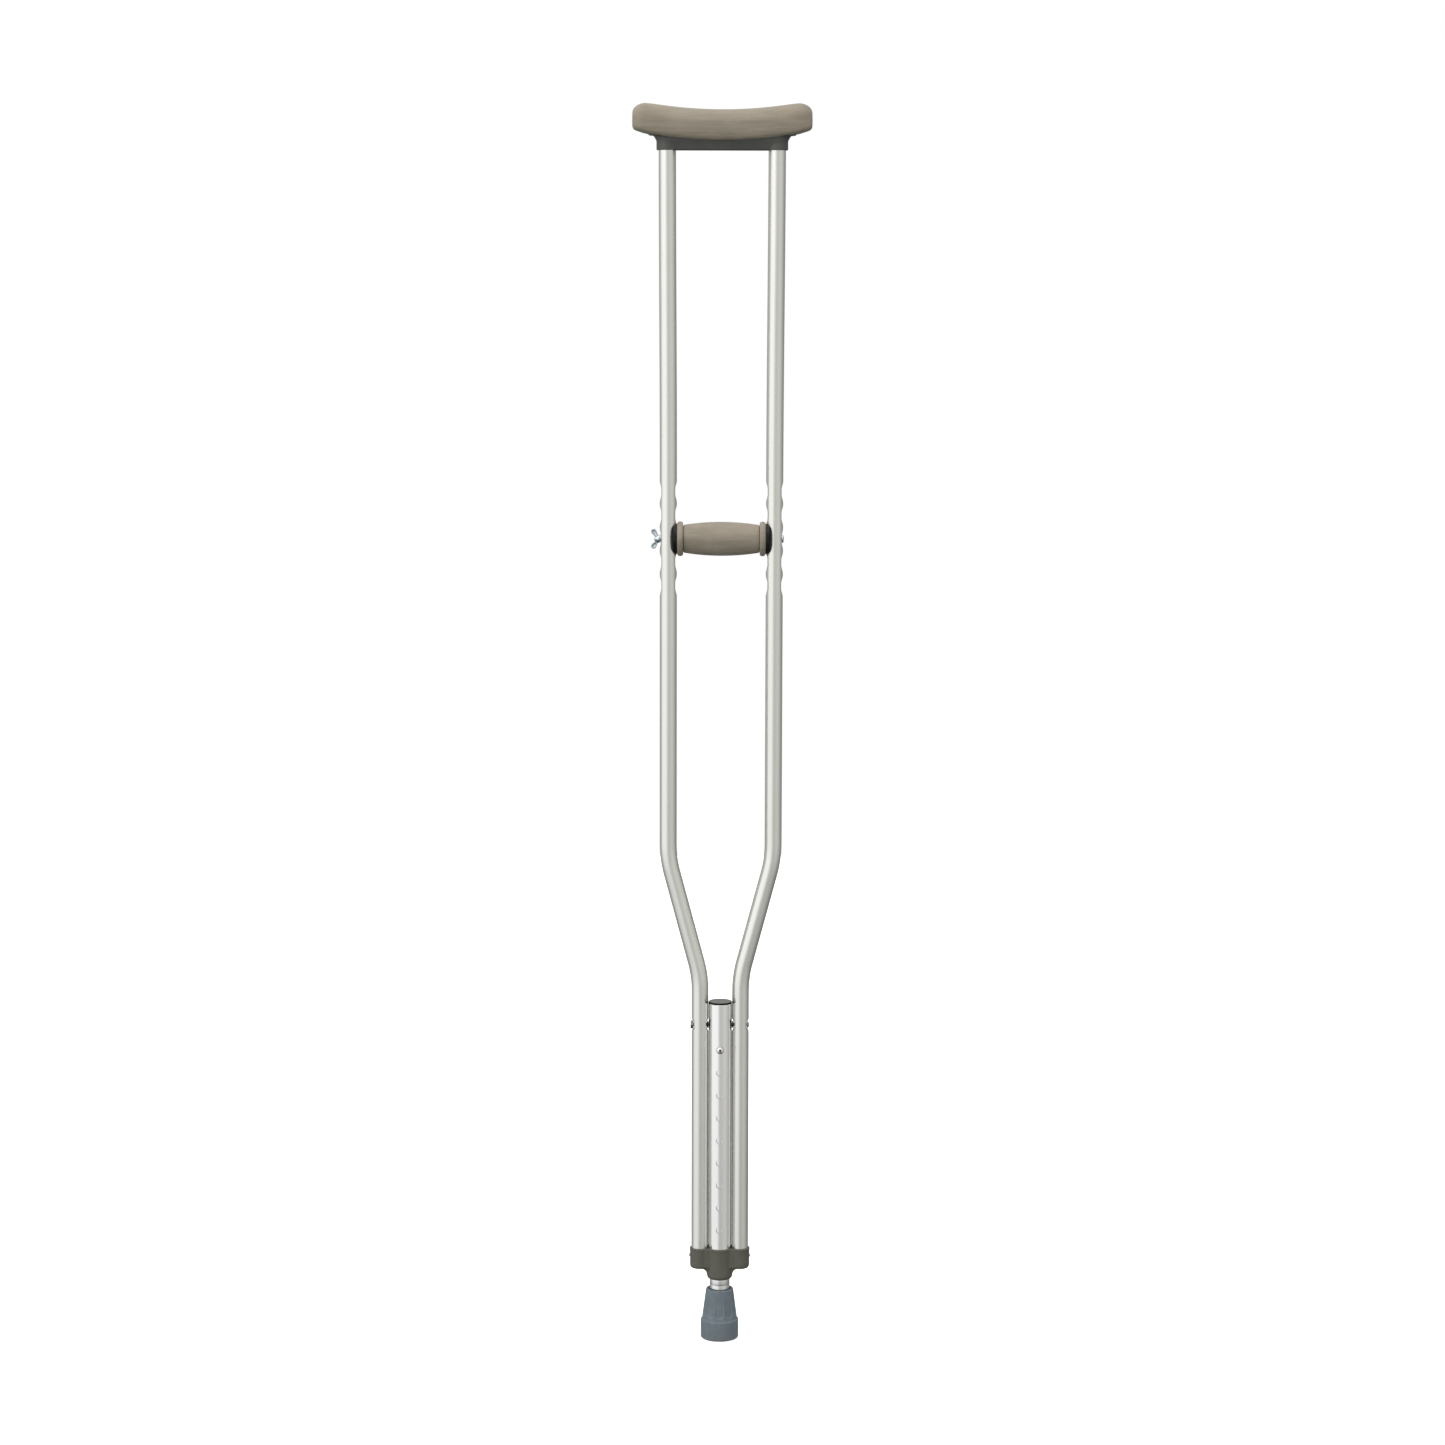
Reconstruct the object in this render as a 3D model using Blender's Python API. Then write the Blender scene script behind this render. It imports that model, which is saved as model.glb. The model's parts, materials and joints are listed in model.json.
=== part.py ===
"""Underarm crutch with a height-adjustable leg and a bolted handgrip.

Units are metres and +Z is up. The origin is the middle of the rubber tip's sole. The crutch's
front faces -Y: the snap button and the row of height holes show there. The two side tubes lie in
the XZ plane, the wing nut is on the -X side and the heads of the bolts are on the +X side.
"""
from math import atan2, cos, degrees, pi, radians, sin, sqrt

import bmesh
import bpy
from mathutils import Vector

# Clearances
GAP = 0.0003                    # between two pieces that touch
RUNNING_GAP = 0.0004            # between a pin or tube and the hole it moves in
PIERCE = 0.002                  # how far a cutter runs past the face it opens

# Tubes
SIDE_TUBE_D = 0.0184
SIDE_TUBE_WALL = 0.0014
CENTER_TUBE_D = 0.0254
CENTER_TUBE_WALL = 0.0012
LEG_TUBE_WALL = 0.0014

# Heights above the sole and lengths along Z
TIP_HEIGHT = 0.056
LEG_SHOWING = 0.011             # leg tube between tip and collar, leg fully in
COLLAR_HEIGHT = 0.0355
COLLAR_NECK = 0.0122            # centre lobe below the side lobes
CENTER_TUBE_LENGTH = 0.3086
CROSS_BOLT_DROP = 0.0241        # below the centre tube's top
TOP_HOLE_DROP = 0.0505          # below the centre tube's top
LEG_TOP_MARGIN = 0.0155         # leg tube above its button
BEND_ABOVE_TUBE = 0.0136        # where the side tubes start to spread
GRIP_HEIGHT = 0.8893
CUSHION_TOP = 1.3455            # middle of the cushion's top
CUSHION_THICKNESS = 0.0326
SADDLE_SHOWING = 0.0099         # saddle block below the cushion

# Side tube shape
BEND_ANGLE = radians(15.0)
BEND_RADIUS = 0.125
GRIP_HALF_SPAN = 0.0573         # tube axis from the centre line at the grip
SADDLE_SPLAY = 0.0012           # how much wider the pair is at the saddle
BEND_STEPS = 5

# Height holes, grip stations and their dents
HOLE_PITCH = 0.0254
LEG_STATIONS = 9
GRIP_STATIONS = 5
BUTTON_HOLE_R = 0.0041
GRIP_DENT = 0.0013
GRIP_DENT_FLAT = 0.0049         # half length of the dent's floor
GRIP_DENT_RUN = 0.0105          # half length with its ramps
CROSS_DENT = 0.0022
CROSS_DENT_FLAT = 0.0046
CROSS_DENT_RUN = 0.0082

# Fasteners
GRIP_BOLT_R = 0.0024
GRIP_HEAD_R = 0.0043
GRIP_HEAD_T = 0.0020
GRIP_BOLT_END = 0.0074          # past the washer's seat
GRIP_WASHER_R = 0.0042
GRIP_WASHER_T = 0.0008
CROSS_BOLT_R = 0.0020
CROSS_HEAD_R = 0.0038
CROSS_HEAD_T = 0.0022
CROSS_NUT_AF = 0.0070
CROSS_NUT_T = 0.0024
RIVET_R = 0.0014
RIVET_HEAD_R = 0.0022
RIVET_HEAD_T = 0.0009
RIVET_BULB_R = 0.0020
RIVET_BULB_L = 0.0022
WING_HUB_R = 0.0044
WING_HUB_L = 0.0055
WING_EAR_R = 0.0027
WING_REACH = 0.0063             # ear centre from the seat, along the bolt
WING_SPREAD = 0.0077            # ear centre from the bolt's axis
WING_T = 0.0022

# Handgrip
CORE_R = 0.0105
CORE_FLANGE_R = 0.0163
CORE_HORN = 0.0042              # flange past the tube's inner face
CORE_FLANGE_ROOT = 0.0019       # flange short of the tube's inner face
SLEEVE_CLEAR = 0.0004           # between the sleeve's end and the tube's inner face
SLEEVE_FLANGE_R = 0.0187
SLEEVE_FLANGE_T = 0.0066
SLEEVE_NECK_R = 0.0148
SLEEVE_BARREL_R = 0.0183

# Saddle and cushion
SADDLE_WALL = 0.0021            # around the tube sockets
SADDLE_PLATE_PAST = 0.0084      # plate past the block, at each end
SADDLE_PLATE_WIDTH = 0.0300
SADDLE_PLATE_T = 0.0035
SADDLE_PLATE_SAG = 0.0022
SADDLE_PLATE_CORNER = 0.010
SADDLE_FLARE = 0.0040
SADDLE_RIB = 0.0018
SADDLE_POCKETS = 4
SADDLE_ROOF = 0.0030            # above sockets and pockets
CUSHION_PAST = 0.0178           # cushion past the plate, at each end
CUSHION_WIDTH = 0.0420
CUSHION_SAG_RADIUS = 0.465
CUSHION_LIP = 0.0036            # cushion below the saddle plate, at the middle
CUSHION_TOP_ROUND = 0.0110
CUSHION_BOTTOM_ROUND = 0.0045
CUSHION_END_ROUND = 0.0145
CUSHION_END_SLOPE = 0.30

# Collar
COLLAR_WALL = 0.0012
COLLAR_LIP = 0.0004
COLLAR_LIP_HEIGHT = 0.0042
COLLAR_FLOOR = 0.0026
COLLAR_SLOT_HALF = 0.0032
COLLAR_FILLET = 0.0050
COLLAR_RIVET_DROP = 0.0088      # below the collar's top

# Cap of the centre tube
CAP_RIM_T = 0.0020
CAP_DISH = 0.0004
CAP_PLUG_LENGTH = 0.0100
CAP_PLUG_WALL = 0.0018

# Snap button and its spring
BUTTON_R = 0.0037
BUTTON_PROUD = 0.0023
BUTTON_STEM_R = 0.0015
BUTTON_FLANGE_R = 0.0023
BUTTON_FLANGE_T = 0.0006
SPRING_WIDTH = 0.0080
SPRING_T = 0.0006
SPRING_LENGTH = 0.0450          # from the button down to the bend
SPRING_TAIL = 0.0060            # above the button
SPRING_BEND_R = 0.0030

# Rubber tip
TIP_WALL = 0.0038               # round the leg tube, at the tip's top
TIP_TAPER = 0.0041              # how much wider the cone's foot is than its top
TIP_BAND_STEP = 0.0016          # band past the cone's foot
TIP_BAND_HEIGHT = 0.0220
TIP_FLOOR = 0.0075
TIP_FLUTES = 10
TIP_FLUTE_DEPTH = 0.0009
TIP_TREAD_DEPTH = 0.0012
TIP_TREAD_RINGS = (0.0080, 0.0140)
TIP_TREAD_HALF = 0.0010
WASHER_INSET = 0.0006           # inside the leg tube's outline
WASHER_HOLE_R = 0.0030
WASHER_T = 0.0012

# Facets
ROUND = 24
COARSE = 12
HOLE_SIDES = 12

# Sizes that follow from the driving ones
SIDE_R = SIDE_TUBE_D / 2
CENTER_R = CENTER_TUBE_D / 2
LEG_R = CENTER_R - CENTER_TUBE_WALL - RUNNING_GAP
LEG_BORE_R = LEG_R - LEG_TUBE_WALL
TIP_TOP_R = LEG_R + GAP + TIP_WALL
TIP_CONE_R = TIP_TOP_R + TIP_TAPER
TIP_BAND_R = TIP_CONE_R + TIP_BAND_STEP
WASHER_R = LEG_R - WASHER_INSET
LOW_HALF_SPAN = CENTER_R + SIDE_R + GAP
COLLAR_BOTTOM = TIP_HEIGHT + LEG_SHOWING
COLLAR_TOP = COLLAR_BOTTOM + COLLAR_HEIGHT
LOBE_BOTTOM = COLLAR_BOTTOM + COLLAR_NECK
SIDE_FOOT = LOBE_BOTTOM + COLLAR_FLOOR + GAP
CENTER_FOOT = COLLAR_BOTTOM + COLLAR_FLOOR + GAP
CENTER_TOP = CENTER_FOOT + CENTER_TUBE_LENGTH
CROSS_Z = CENTER_TOP - CROSS_BOLT_DROP
TOP_HOLE_Z = CENTER_TOP - TOP_HOLE_DROP
CUSHION_BOTTOM = CUSHION_TOP - CUSHION_THICKNESS
PLATE_BOTTOM = CUSHION_BOTTOM + CUSHION_LIP
SADDLE_BOTTOM = CUSHION_BOTTOM - SADDLE_SHOWING
SADDLE_HALF_SPAN = GRIP_HALF_SPAN + SADDLE_SPLAY
SADDLE_HALF = SADDLE_HALF_SPAN + SIDE_R + GAP + SADDLE_WALL
SADDLE_HALF_WIDTH = SIDE_R + GAP + SADDLE_WALL
SADDLE_PLATE_HALF = SADDLE_HALF + SADDLE_PLATE_PAST
CUSHION_HALF = SADDLE_PLATE_HALF + CUSHION_PAST
PLATE_CURVE = SADDLE_PLATE_HALF ** 2 / (2 * SADDLE_PLATE_SAG)
SOCKET_TOP = PLATE_BOTTOM + SADDLE_PLATE_T - SADDLE_ROOF + SADDLE_HALF_SPAN ** 2 / (2 * PLATE_CURVE)
SADDLE_RIVET_Z = SADDLE_BOTTOM + (SOCKET_TOP - SADDLE_BOTTOM) * 0.45
GRIP_SEAT = GRIP_HALF_SPAN + SIDE_R - GRIP_DENT
NUT_SEAT = GRIP_SEAT + GRIP_WASHER_T + 2 * GAP
CROSS_SEAT = LOW_HALF_SPAN + SIDE_R - CROSS_DENT
COLLAR_RIVET_Z = COLLAR_TOP - COLLAR_RIVET_DROP
LOBE_R = SIDE_R + GAP + COLLAR_WALL
SPRING_FACE = sqrt(LEG_BORE_R ** 2 - (SPRING_WIDTH / 2) ** 2) - RUNNING_GAP


def clear_scene():
    """Remove whatever objects the scene holds."""
    for thing in list(bpy.data.objects):
        bpy.data.objects.remove(thing, do_unlink=True)


def finish(name, color, roughness, metallic=0.0):
    """Return a Principled material."""
    material = bpy.data.materials.new(name)
    material.use_nodes = True
    shader = material.node_tree.nodes["Principled BSDF"]
    shader.inputs["Base Color"].default_value = (*color, 1.0)
    shader.inputs["Roughness"].default_value = roughness
    shader.inputs["Metallic"].default_value = metallic
    return material


def build_mesh(name, verts, faces, origin=(0.0, 0.0, 0.0)):
    """Make an object from points and faces, with its origin at the given point."""
    shift = Vector(origin)
    mesh = bpy.data.meshes.new(name)
    mesh.from_pydata([Vector(v) - shift for v in verts], [], faces)
    shell = bmesh.new()
    shell.from_mesh(mesh)
    bmesh.ops.recalc_face_normals(shell, faces=shell.faces)
    shell.to_mesh(mesh)
    shell.free()
    mesh.shade_smooth()
    mesh.set_sharp_from_angle(angle=radians(32.0))
    piece = bpy.data.objects.new(name, mesh)
    piece.location = shift
    bpy.context.scene.collection.objects.link(piece)
    return piece


def on_axis(axis, center, radius, angle, along):
    """Return the point at a radius and angle round an axis through center."""
    a = radius * cos(angle)
    b = radius * sin(angle)
    cx, cy, cz = center
    if axis == "X":
        return (cx + along, cy + a, cz + b)
    if axis == "Y":
        return (cx + a, cy + along, cz + b)
    return (cx + a, cy + b, cz + along)


def turned_shape(profile, axis, center, sides, wave=None, phase=0.0):
    """Return points and faces of a profile of (radius, along) pairs turned round an axis.

    A profile that starts and ends on the axis is solid; any other is closed into a ring.
    wave(angle, along) adds to the radius, and phase turns the facets.
    """
    verts = []
    rings = []
    for radius, along in profile:
        if radius == 0.0:
            rings.append([len(verts)] * sides)
            verts.append(on_axis(axis, center, 0.0, 0.0, along))
            continue
        rings.append(list(range(len(verts), len(verts) + sides)))
        for k in range(sides):
            angle = 2 * pi * k / sides + phase
            grown = radius + (wave(angle, along) if wave else 0.0)
            verts.append(on_axis(axis, center, grown, angle, along))
    is_solid = profile[0][0] == 0.0 and profile[-1][0] == 0.0
    pairs = list(zip(rings, rings[1:]))
    if not is_solid:
        pairs.append((rings[-1], rings[0]))
    faces = []
    for low, high in pairs:
        for k in range(sides):
            n = (k + 1) % sides
            corners = (low[k], low[n], high[n], high[k])
            face = tuple(dict.fromkeys(corners))
            if len(face) > 2:
                faces.append(face)
    return verts, faces


def turned(name, profile, axis="Z", center=(0.0, 0.0, 0.0), sides=ROUND, origin=None, wave=None):
    """Make a turned piece."""
    verts, faces = turned_shape(profile, axis, center, sides, wave)
    return build_mesh(name, verts, faces, center if origin is None else origin)


def loft(name, rings, origin=(0.0, 0.0, 0.0), closed=False):
    """Join rings of points into a skin, capped at both ends unless it closes on itself."""
    count = len(rings[0])
    verts = [point for ring in rings for point in ring]
    last = len(rings) if closed else len(rings) - 1
    faces = []
    for i in range(last):
        low = i * count
        high = ((i + 1) % len(rings)) * count
        for k in range(count):
            n = (k + 1) % count
            faces.append((low + k, low + n, high + n, high + k))
    if not closed:
        faces.append(tuple(range(count)))
        faces.append(tuple(range(len(verts) - count, len(verts))))
    return build_mesh(name, verts, faces, origin)


def box_shape(low, high):
    """Return points and faces of a box between two corners."""
    verts = [(x, y, z) for x in (low[0], high[0]) for y in (low[1], high[1]) for z in (low[2], high[2])]
    faces = [(0, 1, 3, 2), (4, 6, 7, 5), (0, 4, 5, 1), (2, 3, 7, 6), (0, 2, 6, 4), (1, 5, 7, 3)]
    return verts, faces


def merged(name, shapes):
    """Make one object out of several separate shapes, for use as a cutter."""
    verts = []
    faces = []
    for part_verts, part_faces in shapes:
        start = len(verts)
        verts.extend(part_verts)
        faces.extend(tuple(start + k for k in face) for face in part_faces)
    return build_mesh(name, verts, faces)


def rod_shape(axis, center, radius, start, end, sides=HOLE_SIDES):
    """Return a plain rod, as points and faces, along an axis through center.

    It is turned by half a facet, which keeps its corners off the seams of what it cuts.
    """
    profile = [(0.0, start), (radius, start), (radius, end), (0.0, end)]
    return turned_shape(profile, axis, center, sides, phase=pi / sides)


def combine(piece, tool, operation):
    """Add a Boolean to a piece, and hide the shape that it uses."""
    tool.hide_render = True
    tool.display_type = "WIRE"
    modifier = piece.modifiers.new(tool.name, "BOOLEAN")
    modifier.operation = operation
    modifier.solver = "EXACT"
    modifier.object = tool


def cut(piece, *tools):
    """Take shapes away from a piece."""
    for tool in tools:
        combine(piece, tool, "DIFFERENCE")


def fuse(piece, *tools):
    """Join shapes to a piece."""
    for tool in tools:
        combine(piece, tool, "UNION")


def arc(cx, cz, radius, start, end, steps):
    """Return points on an arc, in degrees, from start to end."""
    angles = [radians(start + (end - start) * k / steps) for k in range(steps + 1)]
    return [(cx + radius * cos(a), cz + radius * sin(a)) for a in angles]


# Tubes ------------------------------------------------------------------------------------------

def dent_depth(z, center, depth, flat, run):
    """Return how far a dented tube is pressed in at a height."""
    off = abs(z - center)
    if off >= run:
        return 0.0
    return depth * min(1.0, (run - off) / (run - flat))


def grip_stations():
    """Return the heights of the handgrip's bolt holes."""
    middle = (GRIP_STATIONS - 1) / 2
    return [GRIP_HEIGHT + (k - middle) * HOLE_PITCH for k in range(GRIP_STATIONS)]


def button_heights():
    """Return the heights of the leg's adjusting holes, from the top down."""
    return [TOP_HOLE_Z - k * HOLE_PITCH for k in range(LEG_STATIONS)]


def press(z):
    """Return how far the side tube is pressed in, on both faces, at a height."""
    dents = [dent_depth(z, h, GRIP_DENT, GRIP_DENT_FLAT, GRIP_DENT_RUN) for h in grip_stations()]
    dents.append(dent_depth(z, CROSS_Z, CROSS_DENT, CROSS_DENT_FLAT, CROSS_DENT_RUN))
    return max(dents)


def side_path():
    """Return (x, z, lean) up the right-hand tube's centre line, lean from the vertical."""
    bend_start = CENTER_TOP + BEND_ABOVE_TUBE
    spread = GRIP_HALF_SPAN - LOW_HALF_SPAN
    bend_side = BEND_RADIUS * (1 - cos(BEND_ANGLE))
    slope = (spread - 2 * bend_side) / sin(BEND_ANGLE)
    bend_end = bend_start + 2 * BEND_RADIUS * sin(BEND_ANGLE) + slope * cos(BEND_ANGLE)
    path = [(LOW_HALF_SPAN, SIDE_FOOT, 0.0)]
    for off in (-CROSS_DENT_RUN, -CROSS_DENT_FLAT, CROSS_DENT_FLAT, CROSS_DENT_RUN):
        path.append((LOW_HALF_SPAN, CROSS_Z + off, 0.0))
    leans = [BEND_ANGLE * k / BEND_STEPS for k in range(BEND_STEPS + 1)]
    for lean in leans:
        x = LOW_HALF_SPAN + BEND_RADIUS * (1 - cos(lean))
        path.append((x, bend_start + BEND_RADIUS * sin(lean), lean))
    for lean in reversed(leans):
        x = GRIP_HALF_SPAN - BEND_RADIUS * (1 - cos(lean))
        path.append((x, bend_end - BEND_RADIUS * sin(lean), lean))
    for station in grip_stations():
        for off in (-GRIP_DENT_RUN, -GRIP_DENT_FLAT, GRIP_DENT_FLAT, GRIP_DENT_RUN):
            path.append((GRIP_HALF_SPAN, station + off, 0.0))
    top = SOCKET_TOP - GAP
    splay_start = grip_stations()[-1] + HOLE_PITCH
    splay = atan2(SADDLE_HALF_SPAN - GRIP_HALF_SPAN, top - splay_start)
    path.append((GRIP_HALF_SPAN, splay_start, splay / 2))
    path.append((SADDLE_HALF_SPAN, top, 0.0))
    return path


def tube_ring(x, z, lean, radius, limit):
    """Return a ring across a side tube, with its inner and outer sides no wider than limit."""
    ring = []
    for k in range(ROUND):
        angle = 2 * pi * k / ROUND
        across = max(-limit, min(limit, radius * cos(angle)))
        ring.append((x + across * cos(lean), radius * sin(angle), z - across * sin(lean)))
    return ring


def side_tube(name, side):
    """Make a bent side tube. side is +1 on the right and -1 on the left."""
    outer = []
    inner = []
    for x, z, lean in side_path():
        pressed = press(z)
        bore = SIDE_R - SIDE_TUBE_WALL
        outer.append(tube_ring(x, z, lean, SIDE_R, SIDE_R - pressed))
        inner.append(tube_ring(x, z, lean, bore, bore - pressed))
    rings = outer + inner[::-1]
    mirrored = [[(side * x, y, z) for x, y, z in ring] for ring in rings]
    tube = loft(name, mirrored, closed=True)
    reach = SIDE_R + PIERCE
    bolts = []
    for height in grip_stations():
        center = (side * GRIP_HALF_SPAN, 0.0, height)
        bolts.append(rod_shape("X", center, GRIP_BOLT_R + RUNNING_GAP, -reach, reach))
    center = (side * LOW_HALF_SPAN, 0.0, CROSS_Z)
    bolts.append(rod_shape("X", center, CROSS_BOLT_R + GAP, -reach, reach))
    rivets = [
        rod_shape("X", (side * LOW_HALF_SPAN, 0.0, COLLAR_RIVET_Z), RIVET_R + GAP, 0.0, side * reach),
        rod_shape("Y", (side * SADDLE_HALF_SPAN, 0.0, SADDLE_RIVET_Z), RIVET_R + GAP, 0.0, reach),
    ]
    cut(tube, merged(f"cut_{name}_bolts", bolts), merged(f"cut_{name}_rivets", rivets))
    return tube


def straight_tube(name, radius, wall, foot, top, origin=(0.0, 0.0, 0.0)):
    """Make a straight tube round the centre line."""
    bore = radius - wall
    profile = [(radius, foot), (radius, top), (bore, top), (bore, foot)]
    verts, faces = turned_shape(profile, "Z", (0.0, 0.0, 0.0), 2 * COARSE)
    return build_mesh(name, verts, faces, origin)


def center_tube():
    """Make the fixed centre tube with its height holes, front and back."""
    tube = straight_tube("center_tube", CENTER_R, CENTER_TUBE_WALL, CENTER_FOOT, CENTER_TOP)
    reach = CENTER_R + PIERCE
    holes = [rod_shape("Y", (0.0, 0.0, z), BUTTON_HOLE_R, -reach, reach) for z in button_heights()]
    cross = [rod_shape("X", (0.0, 0.0, CROSS_Z), CROSS_BOLT_R + GAP, -reach, reach)]
    cut(tube, merged("cut_center_holes", holes), merged("cut_center_cross", cross))
    return tube


def leg_tube():
    """Make the sliding leg tube, with the hole pair for its snap buttons."""
    foot = TIP_FLOOR + WASHER_T + 2 * GAP
    top = TOP_HOLE_Z + LEG_TOP_MARGIN
    tube = straight_tube("extension_tube", LEG_R, LEG_TUBE_WALL, foot, top, (0.0, 0.0, foot))
    reach = LEG_R + PIERCE
    hole = rod_shape("Y", (0.0, 0.0, TOP_HOLE_Z), BUTTON_HOLE_R, -reach, reach)
    cut(tube, merged("cut_leg_holes", [hole]))
    return tube


def center_cap():
    """Make the plastic plug that closes the centre tube's top."""
    seat = CENTER_TOP + GAP
    plug = CENTER_R - CENTER_TUBE_WALL - GAP
    bore = plug - CAP_PLUG_WALL
    rim = CENTER_R
    round_off = CAP_RIM_T / 3
    profile = [
        (0.0, seat + CAP_RIM_T - CAP_DISH),
        (rim - 2.5 * round_off, seat + CAP_RIM_T - CAP_DISH),
        (rim - 2 * round_off, seat + CAP_RIM_T),
        (rim - round_off, seat + CAP_RIM_T),
        (rim, seat + CAP_RIM_T - round_off),
        (rim, seat),
        (plug, seat),
        (plug, seat - CAP_PLUG_LENGTH),
        (bore, seat - CAP_PLUG_LENGTH),
        (bore, seat),
        (0.0, seat),
    ]
    return turned("center_tube_cap", profile)


# Fasteners --------------------------------------------------------------------------------------

def domed_head(seat, radius, thickness, steps=3):
    """Return the profile of a domed head from its rim to its crown, growing along +axis."""
    points = []
    for k in range(steps + 1):
        angle = 0.5 * pi * k / steps
        reach = 0.0 if k == steps else radius * cos(angle)
        points.append((reach, seat + thickness * (0.35 + 0.65 * sin(angle))))
    return [(radius, seat)] + points


def grip_bolt():
    """Make the long bolt that runs through the side tubes and the handgrip."""
    seat = GRIP_SEAT + GAP
    end = -(GRIP_SEAT + GRIP_BOLT_END)
    chamfer = GRIP_BOLT_R * 0.3
    profile = [(0.0, end), (GRIP_BOLT_R - chamfer, end), (GRIP_BOLT_R, end + chamfer), (GRIP_BOLT_R, seat)]
    profile += domed_head(seat, GRIP_HEAD_R, GRIP_HEAD_T)
    bolt = turned("grip_bolt", profile, "X", (0.0, 0.0, GRIP_HEIGHT), COARSE + 4)
    arm = GRIP_HEAD_R * 0.52
    half = GRIP_HEAD_R * 0.11
    floor = seat + GRIP_HEAD_T * 0.45
    roof = seat + GRIP_HEAD_T + PIERCE
    slots = [
        box_shape((floor, -arm, GRIP_HEIGHT - half), (roof, arm, GRIP_HEIGHT + half)),
        box_shape((floor, -half, GRIP_HEIGHT - arm), (roof, half, GRIP_HEIGHT + arm)),
    ]
    for number, slot in enumerate(slots):
        cut(bolt, merged(f"cut_grip_bolt_slot_{number}", [slot]))
    return bolt


def wing_shape(side):
    """Return one wing of the wing nut as points and faces. side is +1 upwards."""
    root = [(WING_HUB_L * 0.10, WING_HUB_R * 0.55), (WING_HUB_L * 0.95, WING_HUB_R * 0.30)]
    heading = atan2(WING_SPREAD, WING_REACH - WING_HUB_L * 0.5)
    start = degrees(heading) - 100
    ear = arc(WING_REACH, WING_SPREAD, WING_EAR_R, start, start + 200, 8)
    outline = root + ear
    verts = []
    for y in (-WING_T / 2, WING_T / 2):
        for along, up in outline:
            verts.append((-NUT_SEAT - along, y, GRIP_HEIGHT + side * up))
    count = len(outline)
    faces = [tuple(range(count)), tuple(range(count, 2 * count))]
    faces += [(k, (k + 1) % count, count + (k + 1) % count, count + k) for k in range(count)]
    return verts, faces


def wing_nut():
    """Make the wing nut on the bolt's threaded end."""
    seat = -NUT_SEAT
    bore = GRIP_BOLT_R + RUNNING_GAP
    collar = WING_HUB_L * 0.3
    profile = [
        (0.0, seat),
        (WING_HUB_R, seat),
        (WING_HUB_R, seat - collar),
        (WING_HUB_R * 0.84, seat - WING_HUB_L),
        (0.0, seat - WING_HUB_L),
    ]
    center = (0.0, 0.0, GRIP_HEIGHT)
    nut = turned("wing_nut", profile, "X", center, COARSE + 4, origin=(seat, 0.0, GRIP_HEIGHT))
    for side, word in ((1, "up"), (-1, "down")):
        fuse(nut, merged(f"add_wing_{word}", [wing_shape(side)]))
    past = GRIP_BOLT_END + WING_REACH
    cut(nut, merged("cut_wing_bore", [rod_shape("X", center, bore, seat - past, seat + PIERCE)]))
    return nut


def grip_washer():
    """Make the washer between the wing nut and the left side tube."""
    seat = -(GRIP_SEAT + GAP)
    bore = GRIP_BOLT_R + RUNNING_GAP
    face = seat - GRIP_WASHER_T
    profile = [(bore, seat), (GRIP_WASHER_R, seat), (GRIP_WASHER_R, face), (bore, face)]
    center = (0.0, 0.0, GRIP_HEIGHT)
    return turned("grip_washer", profile, "X", center, COARSE + 4, origin=(seat, 0.0, GRIP_HEIGHT))


def cross_bolt():
    """Make the short bolt that ties the three tubes together."""
    seat = CROSS_SEAT + GAP
    end = -(CROSS_SEAT + CROSS_NUT_T + 3 * GAP)
    profile = [(0.0, end), (CROSS_BOLT_R, end), (CROSS_BOLT_R, seat)]
    profile += domed_head(seat, CROSS_HEAD_R, CROSS_HEAD_T)
    return turned("cross_bolt", profile, "X", (0.0, 0.0, CROSS_Z), COARSE)


def cross_nut():
    """Make the hexagon nut of the cross bolt."""
    seat = -(CROSS_SEAT + GAP)
    corner = CROSS_NUT_AF / 2 / cos(pi / 6)
    center = (0.0, 0.0, CROSS_Z)
    profile = [(0.0, seat), (corner, seat), (corner, seat - CROSS_NUT_T), (0.0, seat - CROSS_NUT_T)]
    nut = turned("cross_nut", profile, "X", center, 6)
    bore = rod_shape("X", center, CROSS_BOLT_R + GAP, seat - CROSS_NUT_T - PIERCE, seat + PIERCE)
    cut(nut, merged("cut_cross_nut", [bore]))
    return nut


def cross_spacer(name, side):
    """Make a spacer between the centre tube and a side tube."""
    inner = CENTER_R + GAP
    outer = LOW_HALF_SPAN - (SIDE_R - CROSS_DENT) - GAP
    bore = CROSS_BOLT_R + GAP
    rim = CROSS_HEAD_R
    profile = [(bore, inner), (rim, inner), (rim, outer), (bore, outer)]
    mirrored = [(radius, side * along) for radius, along in profile]
    return turned(name, mirrored, "X", (0.0, 0.0, CROSS_Z), COARSE)


def rivet(name, axis, center, seat, grip):
    """Make a blind rivet. seat is the signed place of its head, grip what it clamps."""
    out = 1 if seat > 0 else -1
    inside = seat - out * (grip + GAP)
    tail = inside - out * RIVET_BULB_L
    head = [(radius, out * along) for radius, along in domed_head(abs(seat), RIVET_HEAD_R, RIVET_HEAD_T)]
    profile = [
        (0.0, tail),
        (RIVET_BULB_R * 0.6, tail),
        (RIVET_BULB_R, tail + out * RIVET_BULB_L * 0.4),
        (RIVET_BULB_R, inside),
        (RIVET_R, inside),
        (RIVET_R, seat),
    ]
    return turned(name, profile + head, axis, center, COARSE)


# Handgrip ---------------------------------------------------------------------------------------

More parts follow.
